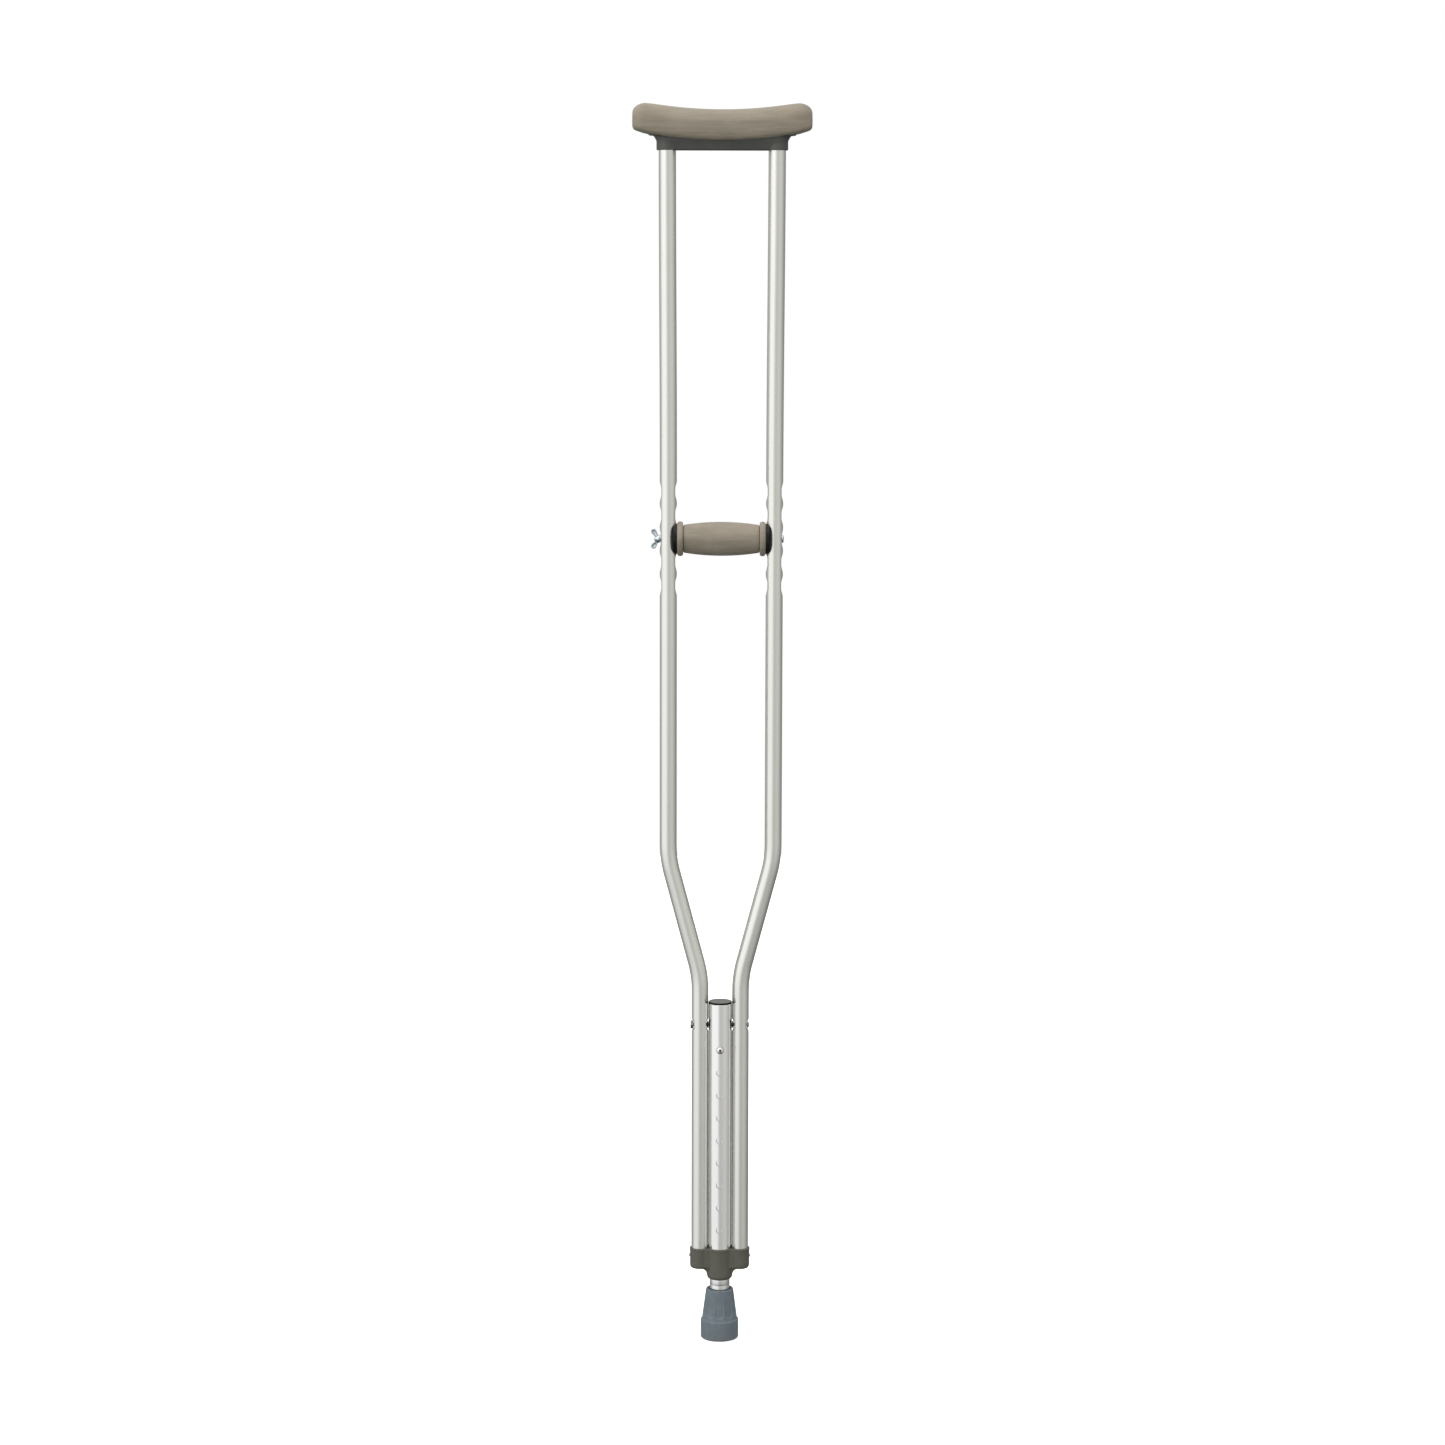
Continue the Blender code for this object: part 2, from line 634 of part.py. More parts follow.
def grip_core():
    """Make the handgrip's core, with ends that saddle the side tubes."""
    face = GRIP_HALF_SPAN - SIDE_R
    root = face - CORE_FLANGE_ROOT
    end = face + CORE_HORN
    bore = GRIP_BOLT_R + RUNNING_GAP
    profile = [
        (bore, -end), (CORE_FLANGE_R, -end), (CORE_FLANGE_R, -root), (CORE_R, -root),
        (CORE_R, root), (CORE_FLANGE_R, root), (CORE_FLANGE_R, end), (bore, end),
    ]
    core = turned("grip_core", profile, "X", (0.0, 0.0, GRIP_HEIGHT), ROUND)
    reach = CORE_FLANGE_R + PIERCE
    for side, word in ((1, "right"), (-1, "left")):
        center = (side * GRIP_HALF_SPAN, 0.0, GRIP_HEIGHT)
        saddle = rod_shape("Z", center, SIDE_R + GAP, -reach, reach, ROUND)
        cut(core, merged(f"cut_core_{word}", [saddle]))
    return core


def grip_sleeve():
    """Make the barrel-shaped foam sleeve of the handgrip."""
    end = GRIP_HALF_SPAN - SIDE_R - SLEEVE_CLEAR
    neck = end - SLEEVE_FLANGE_T
    rim = SLEEVE_FLANGE_R
    swell = SLEEVE_BARREL_R - SLEEVE_NECK_R
    round_off = SLEEVE_FLANGE_T * 0.28
    mouth = GRIP_HALF_SPAN - SIDE_R - CORE_FLANGE_ROOT - GAP
    half = [(SLEEVE_NECK_R, neck), (rim - round_off, neck), (rim, neck + round_off)]
    half += [(rim, end - round_off), (rim - round_off, end), (CORE_FLANGE_R + GAP, end)]
    half += [(CORE_FLANGE_R + GAP, mouth), (CORE_R + GAP, mouth)]
    barrel = []
    steps = 8
    for k in range(1, steps):
        along = neck * (2 * k / steps - 1)
        barrel.append((SLEEVE_NECK_R + swell * (1 - (along / neck) ** 2), along))
    left = [(radius, -along) for radius, along in reversed(half)]
    return turned("grip_sleeve", left + barrel + half, "X", (0.0, 0.0, GRIP_HEIGHT), ROUND + 4)


# Saddle and cushion -----------------------------------------------------------------------------

def plate_sections(grow):
    """Return the cross-sections of the saddle's curved top plate, grown all round."""
    half = SADDLE_PLATE_HALF + grow
    corner = SADDLE_PLATE_CORNER
    width = SADDLE_PLATE_WIDTH / 2 + grow
    flat = half - corner
    stations = [flat * k / 4 for k in range(5)]
    stations += [flat + corner * sin(radians(a)) for a in (30, 55, 75, 90)]
    stations = [-x for x in reversed(stations[1:])] + stations
    sections = []
    for x in stations:
        past = max(0.0, abs(x) - flat)
        w = width - corner + sqrt(max(0.0, corner ** 2 - past ** 2))
        rise = x * x / (2 * PLATE_CURVE)
        low = PLATE_BOTTOM + rise - grow
        high = PLATE_BOTTOM + SADDLE_PLATE_T + rise + grow
        sections.append([(x, -w, low), (x, w, low), (x, w, high), (x, -w, high)])
    return sections


def stadium(half, width, z, steps=6):
    """Return a ring with straight sides and round ends, level at z."""
    ring = []
    for end in (1, -1):
        for k in range(steps + 1):
            angle = -pi / 2 + pi * k / steps
            x = end * (half - width + width * cos(angle))
            ring.append((x, end * width * sin(angle), z))
    return ring


def saddle():
    """Make the moulded saddle: a curved plate on a block with a socket for each side tube."""
    piece = loft("underarm_saddle", plate_sections(0.0))
    top = PLATE_BOTTOM + SADDLE_PLATE_T * 0.7
    chamfer = 0.0008
    flare_start = PLATE_BOTTOM - SADDLE_FLARE
    width = SADDLE_HALF_WIDTH
    rings = [
        stadium(SADDLE_HALF - chamfer, width - chamfer, SADDLE_BOTTOM),
        stadium(SADDLE_HALF, width, SADDLE_BOTTOM + chamfer),
        stadium(SADDLE_HALF, width, flare_start),
        stadium(SADDLE_HALF + SADDLE_FLARE * 0.3, width, flare_start + SADDLE_FLARE * 0.7),
        stadium(SADDLE_HALF + SADDLE_FLARE, width, top),
    ]
    fuse(piece, loft("add_saddle_block", rings))
    bore = SIDE_R + GAP
    sockets = []
    rivets = []
    for side in (1, -1):
        center = (side * SADDLE_HALF_SPAN, 0.0, 0.0)
        sockets.append(rod_shape("Z", center, bore, SADDLE_BOTTOM - PIERCE, SOCKET_TOP, ROUND))
        center = (side * SADDLE_HALF_SPAN, 0.0, SADDLE_RIVET_Z)
        rivets.append(rod_shape("Y", center, RIVET_R + GAP, 0.0, width + PIERCE))
    room = SADDLE_HALF_SPAN - bore - SADDLE_WALL
    pitch = 2 * room / SADDLE_POCKETS
    roof = PLATE_BOTTOM + SADDLE_PLATE_T - SADDLE_ROOF
    deep = width - SADDLE_WALL
    pockets = []
    for k in range(SADDLE_POCKETS):
        start = -room + pitch * k + SADDLE_RIB / 2
        end = -room + pitch * (k + 1) - SADDLE_RIB / 2
        pockets.append(box_shape((start, -deep, SADDLE_BOTTOM - PIERCE), (end, deep, roof)))
    cut(piece, merged("cut_saddle_sockets", sockets), merged("cut_saddle_rivets", rivets),
        merged("cut_saddle_pockets", pockets))
    return piece


def rounded_section(x, width, low, high, top_round, bottom_round, steps=4):
    """Return a rounded rectangle across X, as a ring of points."""
    top = min(top_round, width * 0.98, (high - low) * 0.6)
    bottom = min(bottom_round, width * 0.9, (high - low) * 0.35)
    ring = []
    corners = [
        (width - bottom, low + bottom, bottom, -90),
        (width - top, high - top, top, 0),
        (top - width, high - top, top, 90),
        (bottom - width, low + bottom, bottom, 180),
    ]
    for cy, cz, radius, start in corners:
        for y, z in arc(cy, cz, radius, start, start + 90, steps):
            ring.append((x, y, z))
    return ring


def cushion():
    """Make the underarm cushion, with the slot that holds the saddle's plate."""
    flat = CUSHION_HALF - CUSHION_END_ROUND
    stations = [flat * k / 6 for k in range(7)]
    stations += [flat + CUSHION_END_ROUND * sin(radians(a)) for a in (20, 40, 58, 74, 90)]
    stations = [-x for x in reversed(stations[1:])] + stations
    rings = []
    for x in stations:
        past = max(0.0, abs(x) - flat)
        drop = 1 - sqrt(max(0.0, 1 - (past / CUSHION_END_ROUND) ** 2))
        reach = min(abs(x), flat)
        rise = reach ** 2 / (2 * CUSHION_SAG_RADIUS)
        high = CUSHION_TOP + rise - drop * CUSHION_TOP_ROUND
        low = CUSHION_BOTTOM + rise + past * CUSHION_END_SLOPE
        width = CUSHION_WIDTH / 2 - drop * CUSHION_END_ROUND * 0.9
        rings.append(rounded_section(x, width, low, high, CUSHION_TOP_ROUND, CUSHION_BOTTOM_ROUND))
    pad = loft("underarm_cushion", rings)
    mouth = SADDLE_HALF + SADDLE_FLARE + GAP
    deep = SADDLE_HALF_WIDTH + GAP
    middle = PLATE_BOTTOM + SADDLE_PLATE_T / 2
    opening = box_shape((-mouth, -deep, CUSHION_BOTTOM - PIERCE), (mouth, deep, middle))
    cut(pad, loft("cut_cushion_plate", plate_sections(GAP)), merged("cut_cushion_mouth", [opening]))
    return pad


# Collar -----------------------------------------------------------------------------------------

def gusset_shape(side):
    """Return the fillet between the collar's neck and a side lobe, as points and faces."""
    neck = CENTER_R + GAP + COLLAR_WALL
    corner = neck + COLLAR_FILLET
    low = LOBE_BOTTOM - COLLAR_FILLET
    outline = [(neck - COLLAR_WALL / 2, low), (neck - COLLAR_WALL / 2, LOBE_BOTTOM + COLLAR_WALL)]
    outline += [(corner, LOBE_BOTTOM + COLLAR_WALL)]
    outline += arc(corner, low, COLLAR_FILLET, 90, 180, 4)
    half = neck * 0.45
    verts = [(side * x, y, z) for y in (-half, half) for x, z in outline]
    count = len(outline)
    faces = [tuple(range(count)), tuple(range(count, 2 * count))]
    faces += [(k, (k + 1) % count, count + (k + 1) % count, count + k) for k in range(count)]
    return verts, faces


def lobe_profile(radius, foot, top):
    """Return a collar lobe's profile, with a rounded foot and a lip at the top."""
    soft = COLLAR_WALL
    lip = top - COLLAR_LIP_HEIGHT
    return [
        (0.0, foot), (radius - soft, foot), (radius - soft * 0.3, foot + soft * 0.3),
        (radius, foot + soft), (radius, lip), (radius + COLLAR_LIP, lip + COLLAR_LIP),
        (radius + COLLAR_LIP, top - COLLAR_LIP), (radius, top), (0.0, top),
    ]


def collar():
    """Make the moulded collar that holds the three tubes' lower ends."""
    neck = CENTER_R + GAP + COLLAR_WALL
    piece = turned("bottom_collar", lobe_profile(neck, COLLAR_BOTTOM, COLLAR_TOP), sides=ROUND + 4)
    bore = SIDE_R + GAP
    above = COLLAR_TOP + PIERCE
    floor = LOBE_BOTTOM + COLLAR_FLOOR
    across = LOW_HALF_SPAN - bore * 0.3
    slot = box_shape((-across, -COLLAR_SLOT_HALF, floor), (across, COLLAR_SLOT_HALF, above))
    cuts = [merged("cut_collar_slot", [slot])]
    for side, word in ((1, "right"), (-1, "left")):
        center = (side * LOW_HALF_SPAN, 0.0, 0.0)
        lobe = turned_shape(lobe_profile(LOBE_R, LOBE_BOTTOM, COLLAR_TOP), "Z", center, ROUND + 4)
        fuse(piece, merged(f"add_collar_lobe_{word}", [lobe]))
        fuse(piece, merged(f"add_collar_gusset_{word}", [gusset_shape(side)]))
        cuts.append(merged(f"cut_collar_side_{word}", [rod_shape("Z", center, bore, floor, above, ROUND)]))
        rivet_hole = rod_shape("X", (0.0, 0.0, COLLAR_RIVET_Z), RIVET_R + GAP,
                               side * LOW_HALF_SPAN, side * (LOW_HALF_SPAN + LOBE_R + PIERCE))
        cuts.append(merged(f"cut_collar_rivet_{word}", [rivet_hole]))
    center_floor = COLLAR_BOTTOM + COLLAR_FLOOR
    origin = (0.0, 0.0, 0.0)
    seat = rod_shape("Z", origin, CENTER_R + GAP, center_floor, above, ROUND)
    through = rod_shape("Z", origin, LEG_R + RUNNING_GAP, COLLAR_BOTTOM - PIERCE, above, ROUND)
    cuts.append(merged("cut_collar_seat", [seat]))
    cuts.append(merged("cut_collar_through", [through]))
    cut(piece, *cuts)
    return piece


# Snap buttons -----------------------------------------------------------------------------------

def snap_button(name, side):
    """Make a domed snap button with the stem that holds it on its leaf. side -1 is the front."""
    base = SPRING_FACE + GAP
    crown = CENTER_R + BUTTON_PROUD
    shoulder = crown - BUTTON_R * 0.6
    inner = SPRING_FACE - SPRING_T - GAP
    dome = [
        (BUTTON_R * cos(radians(a)), shoulder + (crown - shoulder) * sin(radians(a)))
        for a in (0, 25, 50, 72)
    ]
    profile = [
        (0.0, inner - BUTTON_FLANGE_T), (BUTTON_FLANGE_R, inner - BUTTON_FLANGE_T),
        (BUTTON_FLANGE_R, inner), (BUTTON_STEM_R, inner), (BUTTON_STEM_R, base),
        (BUTTON_R, base),
    ]
    profile += dome + [(0.0, crown)]
    mirrored = [(radius, side * along) for radius, along in profile]
    center = (0.0, 0.0, TOP_HOLE_Z)
    return turned(name, mirrored, "Y", center, COARSE + 4, origin=(0.0, side * crown, TOP_HOLE_Z))


def button_spring():
    """Make the leaf spring, bent into a V, that pushes both buttons out."""
    top = TOP_HOLE_Z + SPRING_TAIL
    low = TOP_HOLE_Z - SPRING_TAIL
    bend_z = TOP_HOLE_Z - SPRING_LENGTH
    face = SPRING_FACE
    turn = SPRING_BEND_R
    outer = [(-face, top), (-face, low)]
    outer += [(y, z) for y, z in arc(0.0, bend_z, turn, 180, 360, 8)]
    outer += [(face, low), (face, top)]
    thin = turn - SPRING_T
    flat = face - SPRING_T
    inner = [(-flat, top), (-flat, low)]
    inner += [(y, z) for y, z in arc(0.0, bend_z, thin, 180, 360, 8)]
    inner += [(flat, low), (flat, top)]
    rings = []
    half = SPRING_WIDTH / 2
    for (oy, oz), (iy, iz) in zip(outer, inner):
        rings.append([(-half, oy, oz), (half, oy, oz), (half, iy, iz), (-half, iy, iz)])
    spring = loft("snap_button_spring", rings)
    holes = rod_shape("Y", (0.0, 0.0, TOP_HOLE_Z), BUTTON_STEM_R + GAP, -LEG_R, LEG_R)
    cut(spring, merged("cut_spring_holes", [holes]))
    return spring


# Rubber tip -------------------------------------------------------------------------------------

def flute(angle, along):
    """Return how much the tip's flutes change its radius at an angle and a height."""
    if not TIP_BAND_HEIGHT < along < TIP_HEIGHT:
        return 0.0
    return -TIP_FLUTE_DEPTH * (0.5 - 0.5 * cos(TIP_FLUTES * angle))


def rubber_tip():
    """Make the rubber tip: a fluted cone on a plain band, with a grooved sole."""
    bore = LEG_R + GAP
    soft = 0.0012
    low = TIP_BAND_HEIGHT + soft
    high = TIP_HEIGHT - soft
    outer = [(TIP_BAND_R - soft, 0.0), (TIP_BAND_R, soft), (TIP_BAND_R, TIP_BAND_HEIGHT - soft)]
    outer += [(TIP_BAND_R - soft, TIP_BAND_HEIGHT), (TIP_CONE_R, low)]
    outer += [(TIP_CONE_R + (TIP_TOP_R - TIP_CONE_R) * k / 3, low + (high - low) * k / 3) for k in (1, 2, 3)]
    outer += [(TIP_TOP_R - soft / 2, TIP_HEIGHT), (bore, TIP_HEIGHT), (bore, TIP_FLOOR), (0.0, TIP_FLOOR)]
    sole = [(0.0, 0.0)]
    for ring in TIP_TREAD_RINGS:
        sole += [(ring - TIP_TREAD_HALF, 0.0), (ring - TIP_TREAD_HALF, TIP_TREAD_DEPTH)]
        sole += [(ring + TIP_TREAD_HALF, TIP_TREAD_DEPTH), (ring + TIP_TREAD_HALF, 0.0)]
    return turned("rubber_tip", sole + outer, sides=6 * TIP_FLUTES, wave=flute)


def tip_washer():
    """Make the steel washer between the leg tube and the tip's floor."""
    low = TIP_FLOOR + GAP
    high = low + WASHER_T
    profile = [(WASHER_HOLE_R, low), (WASHER_R, low), (WASHER_R, high), (WASHER_HOLE_R, high)]
    return turned("tip_washer", profile, sides=ROUND)


def build():
    """Model every piece of the crutch and give each its material."""
    clear_scene()
    satin = ((0.72, 0.72, 0.69), 0.38, 1.0)
    bright = ((0.80, 0.80, 0.80), 0.24, 1.0)
    zinc = ((0.62, 0.66, 0.68), 0.30, 1.0)
    steel = ((0.55, 0.55, 0.56), 0.35, 1.0)
    gray_plastic = ((0.085, 0.088, 0.080), 0.55)
    olive_plastic = ((0.105, 0.105, 0.080), 0.55)
    black_plastic = ((0.020, 0.020, 0.018), 0.50)
    foam = ((0.31, 0.27, 0.21), 0.85)
    rubber = ((0.14, 0.18, 0.21), 0.75)
    side_reach = LOW_HALF_SPAN + LOBE_R + GAP
    rivet_pairs = []
    for side, word in ((1, "right"), (-1, "left")):
        low_center = (0.0, 0.0, COLLAR_RIVET_Z)
        top_center = (side * SADDLE_HALF_SPAN, 0.0, SADDLE_RIVET_Z)
        collar_grip = COLLAR_WALL + GAP + SIDE_TUBE_WALL + GAP
        saddle_grip = SADDLE_WALL + GAP + SIDE_TUBE_WALL + GAP
        rivet_pairs.append(rivet(f"collar_rivet_{word}", "X", low_center, side * side_reach, collar_grip))
        rivet_pairs.append(rivet(f"saddle_rivet_{word}", "Y", top_center, SADDLE_HALF_WIDTH + GAP, saddle_grip))
    spacers = [cross_spacer("cross_spacer_right", 1), cross_spacer("cross_spacer_left", -1)]
    dressed = [
        ([side_tube("side_tube_right", 1), side_tube("side_tube_left", -1)], satin),
        ([center_tube(), leg_tube()], bright),
        ([center_cap(), grip_core()], black_plastic),
        ([grip_bolt(), wing_nut(), grip_washer(), cross_bolt(), cross_nut()], zinc),
        (spacers + rivet_pairs + [tip_washer(), button_spring()], steel),
        ([snap_button("snap_button_front", -1), snap_button("snap_button_back", 1)], bright),
        ([saddle()], gray_plastic),
        ([collar()], olive_plastic),
        ([cushion(), grip_sleeve()], foam),
        ([rubber_tip()], rubber),
    ]
    for pieces, look in dressed:
        for piece in pieces:
            piece.data.materials.append(finish(f"{piece.name}_finish", *look))


build()
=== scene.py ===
"""Looks of an underarm crutch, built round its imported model.

Sizes are in metres in the model's own frame: +Z is up, the front faces -Y and the origin is the
middle of the tip's sole. Each sub-assembly is a class that holds its sizes as fields, takes its
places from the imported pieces, and builds and dresses its own meshes.
"""
from __future__ import annotations

import json
import logging
from collections.abc import Callable, Iterable, Sequence
from dataclasses import dataclass, field
from enum import Enum
from math import cos, exp, log, pi, radians, sin, sqrt, tau
from typing import Union

import bmesh
import bpy
from mathutils import Matrix, Vector

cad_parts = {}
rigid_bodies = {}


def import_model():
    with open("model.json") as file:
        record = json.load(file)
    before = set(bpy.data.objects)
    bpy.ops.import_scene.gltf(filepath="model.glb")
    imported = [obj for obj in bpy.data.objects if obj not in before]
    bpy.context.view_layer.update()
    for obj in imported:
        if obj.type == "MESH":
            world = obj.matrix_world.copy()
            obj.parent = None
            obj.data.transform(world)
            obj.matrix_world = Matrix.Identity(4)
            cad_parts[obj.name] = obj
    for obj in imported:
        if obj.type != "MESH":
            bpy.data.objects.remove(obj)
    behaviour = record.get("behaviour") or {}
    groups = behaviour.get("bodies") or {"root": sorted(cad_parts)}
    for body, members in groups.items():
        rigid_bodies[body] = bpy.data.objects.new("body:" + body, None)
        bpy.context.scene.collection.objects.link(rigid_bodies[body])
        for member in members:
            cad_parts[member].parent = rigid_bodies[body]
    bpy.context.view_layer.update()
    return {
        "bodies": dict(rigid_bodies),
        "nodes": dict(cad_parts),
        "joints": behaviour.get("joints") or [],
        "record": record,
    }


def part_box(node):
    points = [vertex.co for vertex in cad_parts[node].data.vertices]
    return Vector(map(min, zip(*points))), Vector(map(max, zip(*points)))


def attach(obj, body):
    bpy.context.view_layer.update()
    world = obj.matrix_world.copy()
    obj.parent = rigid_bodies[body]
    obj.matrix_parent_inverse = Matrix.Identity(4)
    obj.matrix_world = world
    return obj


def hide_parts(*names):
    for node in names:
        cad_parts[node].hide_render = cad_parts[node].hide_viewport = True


LOG = logging.getLogger("underarm_crutch")

Triple = tuple[float, float, float]
Profile = list[tuple[float, float]]
Shape = tuple[list[Triple], list[tuple[int, ...]]]
Wave = Callable[[float, float], float]

GAP = 0.0003                    # between two pieces that touch
RUNNING_GAP = 0.0004            # between a pin and the hole it moves in
PIERCE = 0.002                  # how far a cutter runs past the face it opens
CREASE = radians(34.0)          # edges bent more than this are drawn sharp
ORIGIN: Triple = (0.0, 0.0, 0.0)

# Sizes that several sub-assemblies share
TUBE_RADIUS = 0.0092            # of a side tube, in the pieces that hold it
LOW_SPAN = 0.0222               # from the middle to a side tube at the collar
GRIP_SPAN = 0.0573              # the same at the handgrip
TOP_SPAN = 0.0585               # the same at the saddle
LEG_RADIUS = 0.0111
HOLE_PITCH = 0.0254             # of the height holes and of the handgrip's stations
CROSS_HOLE = 0.0023
RIVET_HOLE = 0.0017


class Body(Enum):
    """The moving bodies that pieces ride on."""

    FRAME = "crutch_frame"
    LEG = "leg"
    FRONT_BUTTON = "front_button"
    BACK_BUTTON = "back_button"
    BOLT = "handgrip_bolt"
    WASHER = "nut_washer"
    NUT = "handgrip_nut"


class Axis(Enum):
    """The axis that a turned piece is turned round."""

    X = "X"
    Y = "Y"
    Z = "Z"


class Carve(Enum):
    """What one shape does to another."""

    TAKE = "DIFFERENCE"
    JOIN = "UNION"
    KEEP = "INTERSECT"


# Shaders ----------------------------------------------------------------------------------------


def operator(operation: str, flipped: bool = False) -> Callable[[Wire, Value], Wire]:
    """Return a method that adds a Math node, its two inputs flipped where asked."""
    def method(self: Wire, other: Value) -> Wire:
        """Return the outcome of the node."""
        inputs = (other, self) if flipped else (self, other)
        return self.dye.node("ShaderNodeMath", {"operation": operation}, dict(enumerate(inputs)))
    return method


class Wire:
    """A shader socket that takes part in Python sums and products."""

    def __init__(self, dye: Dye, socket: bpy.types.NodeSocket) -> None:
        """Hold a socket and the tree that it is in."""
        self.dye = dye
        self.socket = socket

    __add__ = operator("ADD")
    __sub__ = operator("SUBTRACT")
    __rsub__ = operator("SUBTRACT", flipped=True)
    __mul__ = operator("MULTIPLY")
    __truediv__ = operator("DIVIDE")
    __pow__ = operator("POWER")

    def step(self, start: float, end: float) -> Wire:
        """Return a smooth step from 0 at start to 1 at end."""
        settings = {"interpolation_type": "SMOOTHSTEP"}
        sockets = {"Value": self, "From Min": start, "From Max": end}
        return self.dye.node("ShaderNodeMapRange", settings, sockets)


Value = Union[Wire, float, Sequence[float]]


class Dye:
    """The node tree of one material, or of the sky."""

    def __init__(self, tree: bpy.types.NodeTree) -> None:
        """Start an empty tree."""
        self.tree = tree
        tree.nodes.clear()

    def node(self, kind: str, settings: dict[str, object] | None = None,
             sockets: dict[int | str, Value] | None = None, out: int | str = 0) -> Wire:
        """Add a node.

        Args:
            kind: The node's type.
            settings: Its own settings, a ramp's stops among them, which are set first.
            sockets: The value or the link of each input.
            out: The output that is returned.

        Returns:
            The chosen output.
        """
        made = self.tree.nodes.new(kind)
        for key, value in (settings or {}).items():
            if key == "stops":
                self._set_stops(made.color_ramp, value)
            else:
                setattr(made, key, value)
        for key, value in (sockets or {}).items():
            if isinstance(value, Wire):
                self.tree.links.new(value.socket, made.inputs[key])
            else:
                made.inputs[key].default_value = value
        if not made.outputs:
            return Wire(self, made.inputs[0])
        return Wire(self, made.outputs[out])

    @staticmethod
    def _set_stops(ramp: bpy.types.ColorRamp, stops: Sequence[tuple[float, Triple]]) -> None:
        """Give a ramp its stops.

        Args:
            ramp: The ramp, with its two first stops.
            stops: Pairs of a place from 0 to 1 and a colour.
        """
        while len(ramp.elements) < len(stops):
            ramp.elements.new(0.5)
        for element, (place, color) in zip(ramp.elements, stops):
            element.position = place
            element.color = (*color, 1.0)

    def part(self, vector: Wire, axis: Axis) -> Wire:
        """Return what a vector has along one axis."""
        return self.node("ShaderNodeSeparateXYZ", None, {0: vector}, axis.value)

    def coordinate(self, axis: Axis, space: str = "Object") -> Wire:
        """Return one coordinate, in the piece's own space or another."""
        return self.part(self.node("ShaderNodeTexCoord", out=space), axis)

    def noise(self, scale: Triple | float, detail: float = 3.0, rough: float = 0.55) -> Wire:
        """Return a cloud from 0 to 1, with so many waves to a metre along each axis."""
        scales = scale if isinstance(scale, tuple) else (scale, scale, scale)
        where = self.node("ShaderNodeTexCoord", out="Object")
        placed = self.node("ShaderNodeMapping", None, {"Vector": where, "Scale": scales})
        sockets = {"Vector": placed, "Scale": 1.0, "Detail": detail, "Roughness": rough}
        return self.node("ShaderNodeTexNoise", None, sockets)

    def mix(self, share: Value, first: Value, second: Value) -> Wire:
        """Return a colour between two, first at a share of 0."""
        sockets = {0: share, 6: _rgba(first), 7: _rgba(second)}
        return self.node("ShaderNodeMix", {"data_type": "RGBA"}, sockets, 2)

    def bump(self, height: Wire, depth: float, strength: float = 1.0) -> Wire:
        """Return a normal that follows a height from 0 to 1, depth metres deep."""
        sockets = {"Height": height, "Distance": depth, "Strength": strength}
        return self.node("ShaderNodeBump", None, sockets)

    def surface(self, **sockets: Value) -> None:
        """Finish the tree with a Principled surface. Underscores stand for spaces."""
        named = {key.replace("_", " "): value for key, value in sockets.items()}
        shader = self.node("ShaderNodeBsdfPrincipled", None, named)
        self.node("ShaderNodeOutputMaterial", None, {"Surface": shader})


def _rgba(color: Value) -> Value:
    """Return a colour with an alpha of 1, or a link as it is."""
    return color if isinstance(color, Wire) else (*color, 1.0)


@dataclass(frozen=True)
class Finish:
    """The look of one material."""

    name: str

    def paint(self, dye: Dye) -> None:
        """Fill the material's tree."""
        raise NotImplementedError

    def material(self) -> bpy.types.Material:
        """Return a new material with this finish."""
        material = bpy.data.materials.new(self.name)
        material.use_nodes = True
        self.paint(Dye(material.node_tree))
        return material


@dataclass(frozen=True)
class Anodised(Finish):
    """Drawn aluminium tube with an anodised skin."""

    tint: Triple
    shade: Triple
    roughness: float
    draw_lines: Triple = (1400.0, 1400.0, 9.0)
    clouds: Triple = (60.0, 60.0, 22.0)
    depth: float = 0.000004

    def paint(self, dye: Dye) -> None:
        """Fill the material's tree."""
        lines = dye.noise(self.draw_lines, 4.0, 0.6)
        clouds = dye.noise(self.clouds, 3.0)
        specks = dye.noise(5200.0, 1.0)
        share = (clouds - 0.5) * 0.9 + (lines - 0.5) * 0.7 + 0.5
        color = dye.mix(share, self.shade, self.tint)
        rough = (lines - 0.5) * 0.16 + (clouds - 0.5) * 0.10 + self.roughness
        height = lines * 0.7 + specks * 0.3
        dye.surface(Base_Color=color, Metallic=1.0, Roughness=rough, Normal=dye.bump(height, self.depth))


@dataclass(frozen=True)
class ZincPlate(Finish):
    """Bright zinc plating on steel, with a faint blue passivation."""

    tint: Triple = (0.66, 0.72, 0.76)
    shade: Triple = (0.36, 0.42, 0.46)
    roughness: float = 0.22

    def paint(self, dye: Dye) -> None:
        """Fill the material's tree."""
        clouds = dye.noise(420.0, 4.0)
        pits = dye.noise(3600.0, 2.0)
        color = dye.mix(clouds.step(0.34, 0.66), self.shade, self.tint)
        rough = (clouds - 0.5) * 0.25 + self.roughness
        dye.surface(Base_Color=color, Metallic=1.0, Roughness=rough, Normal=dye.bump(pits, 0.00002))


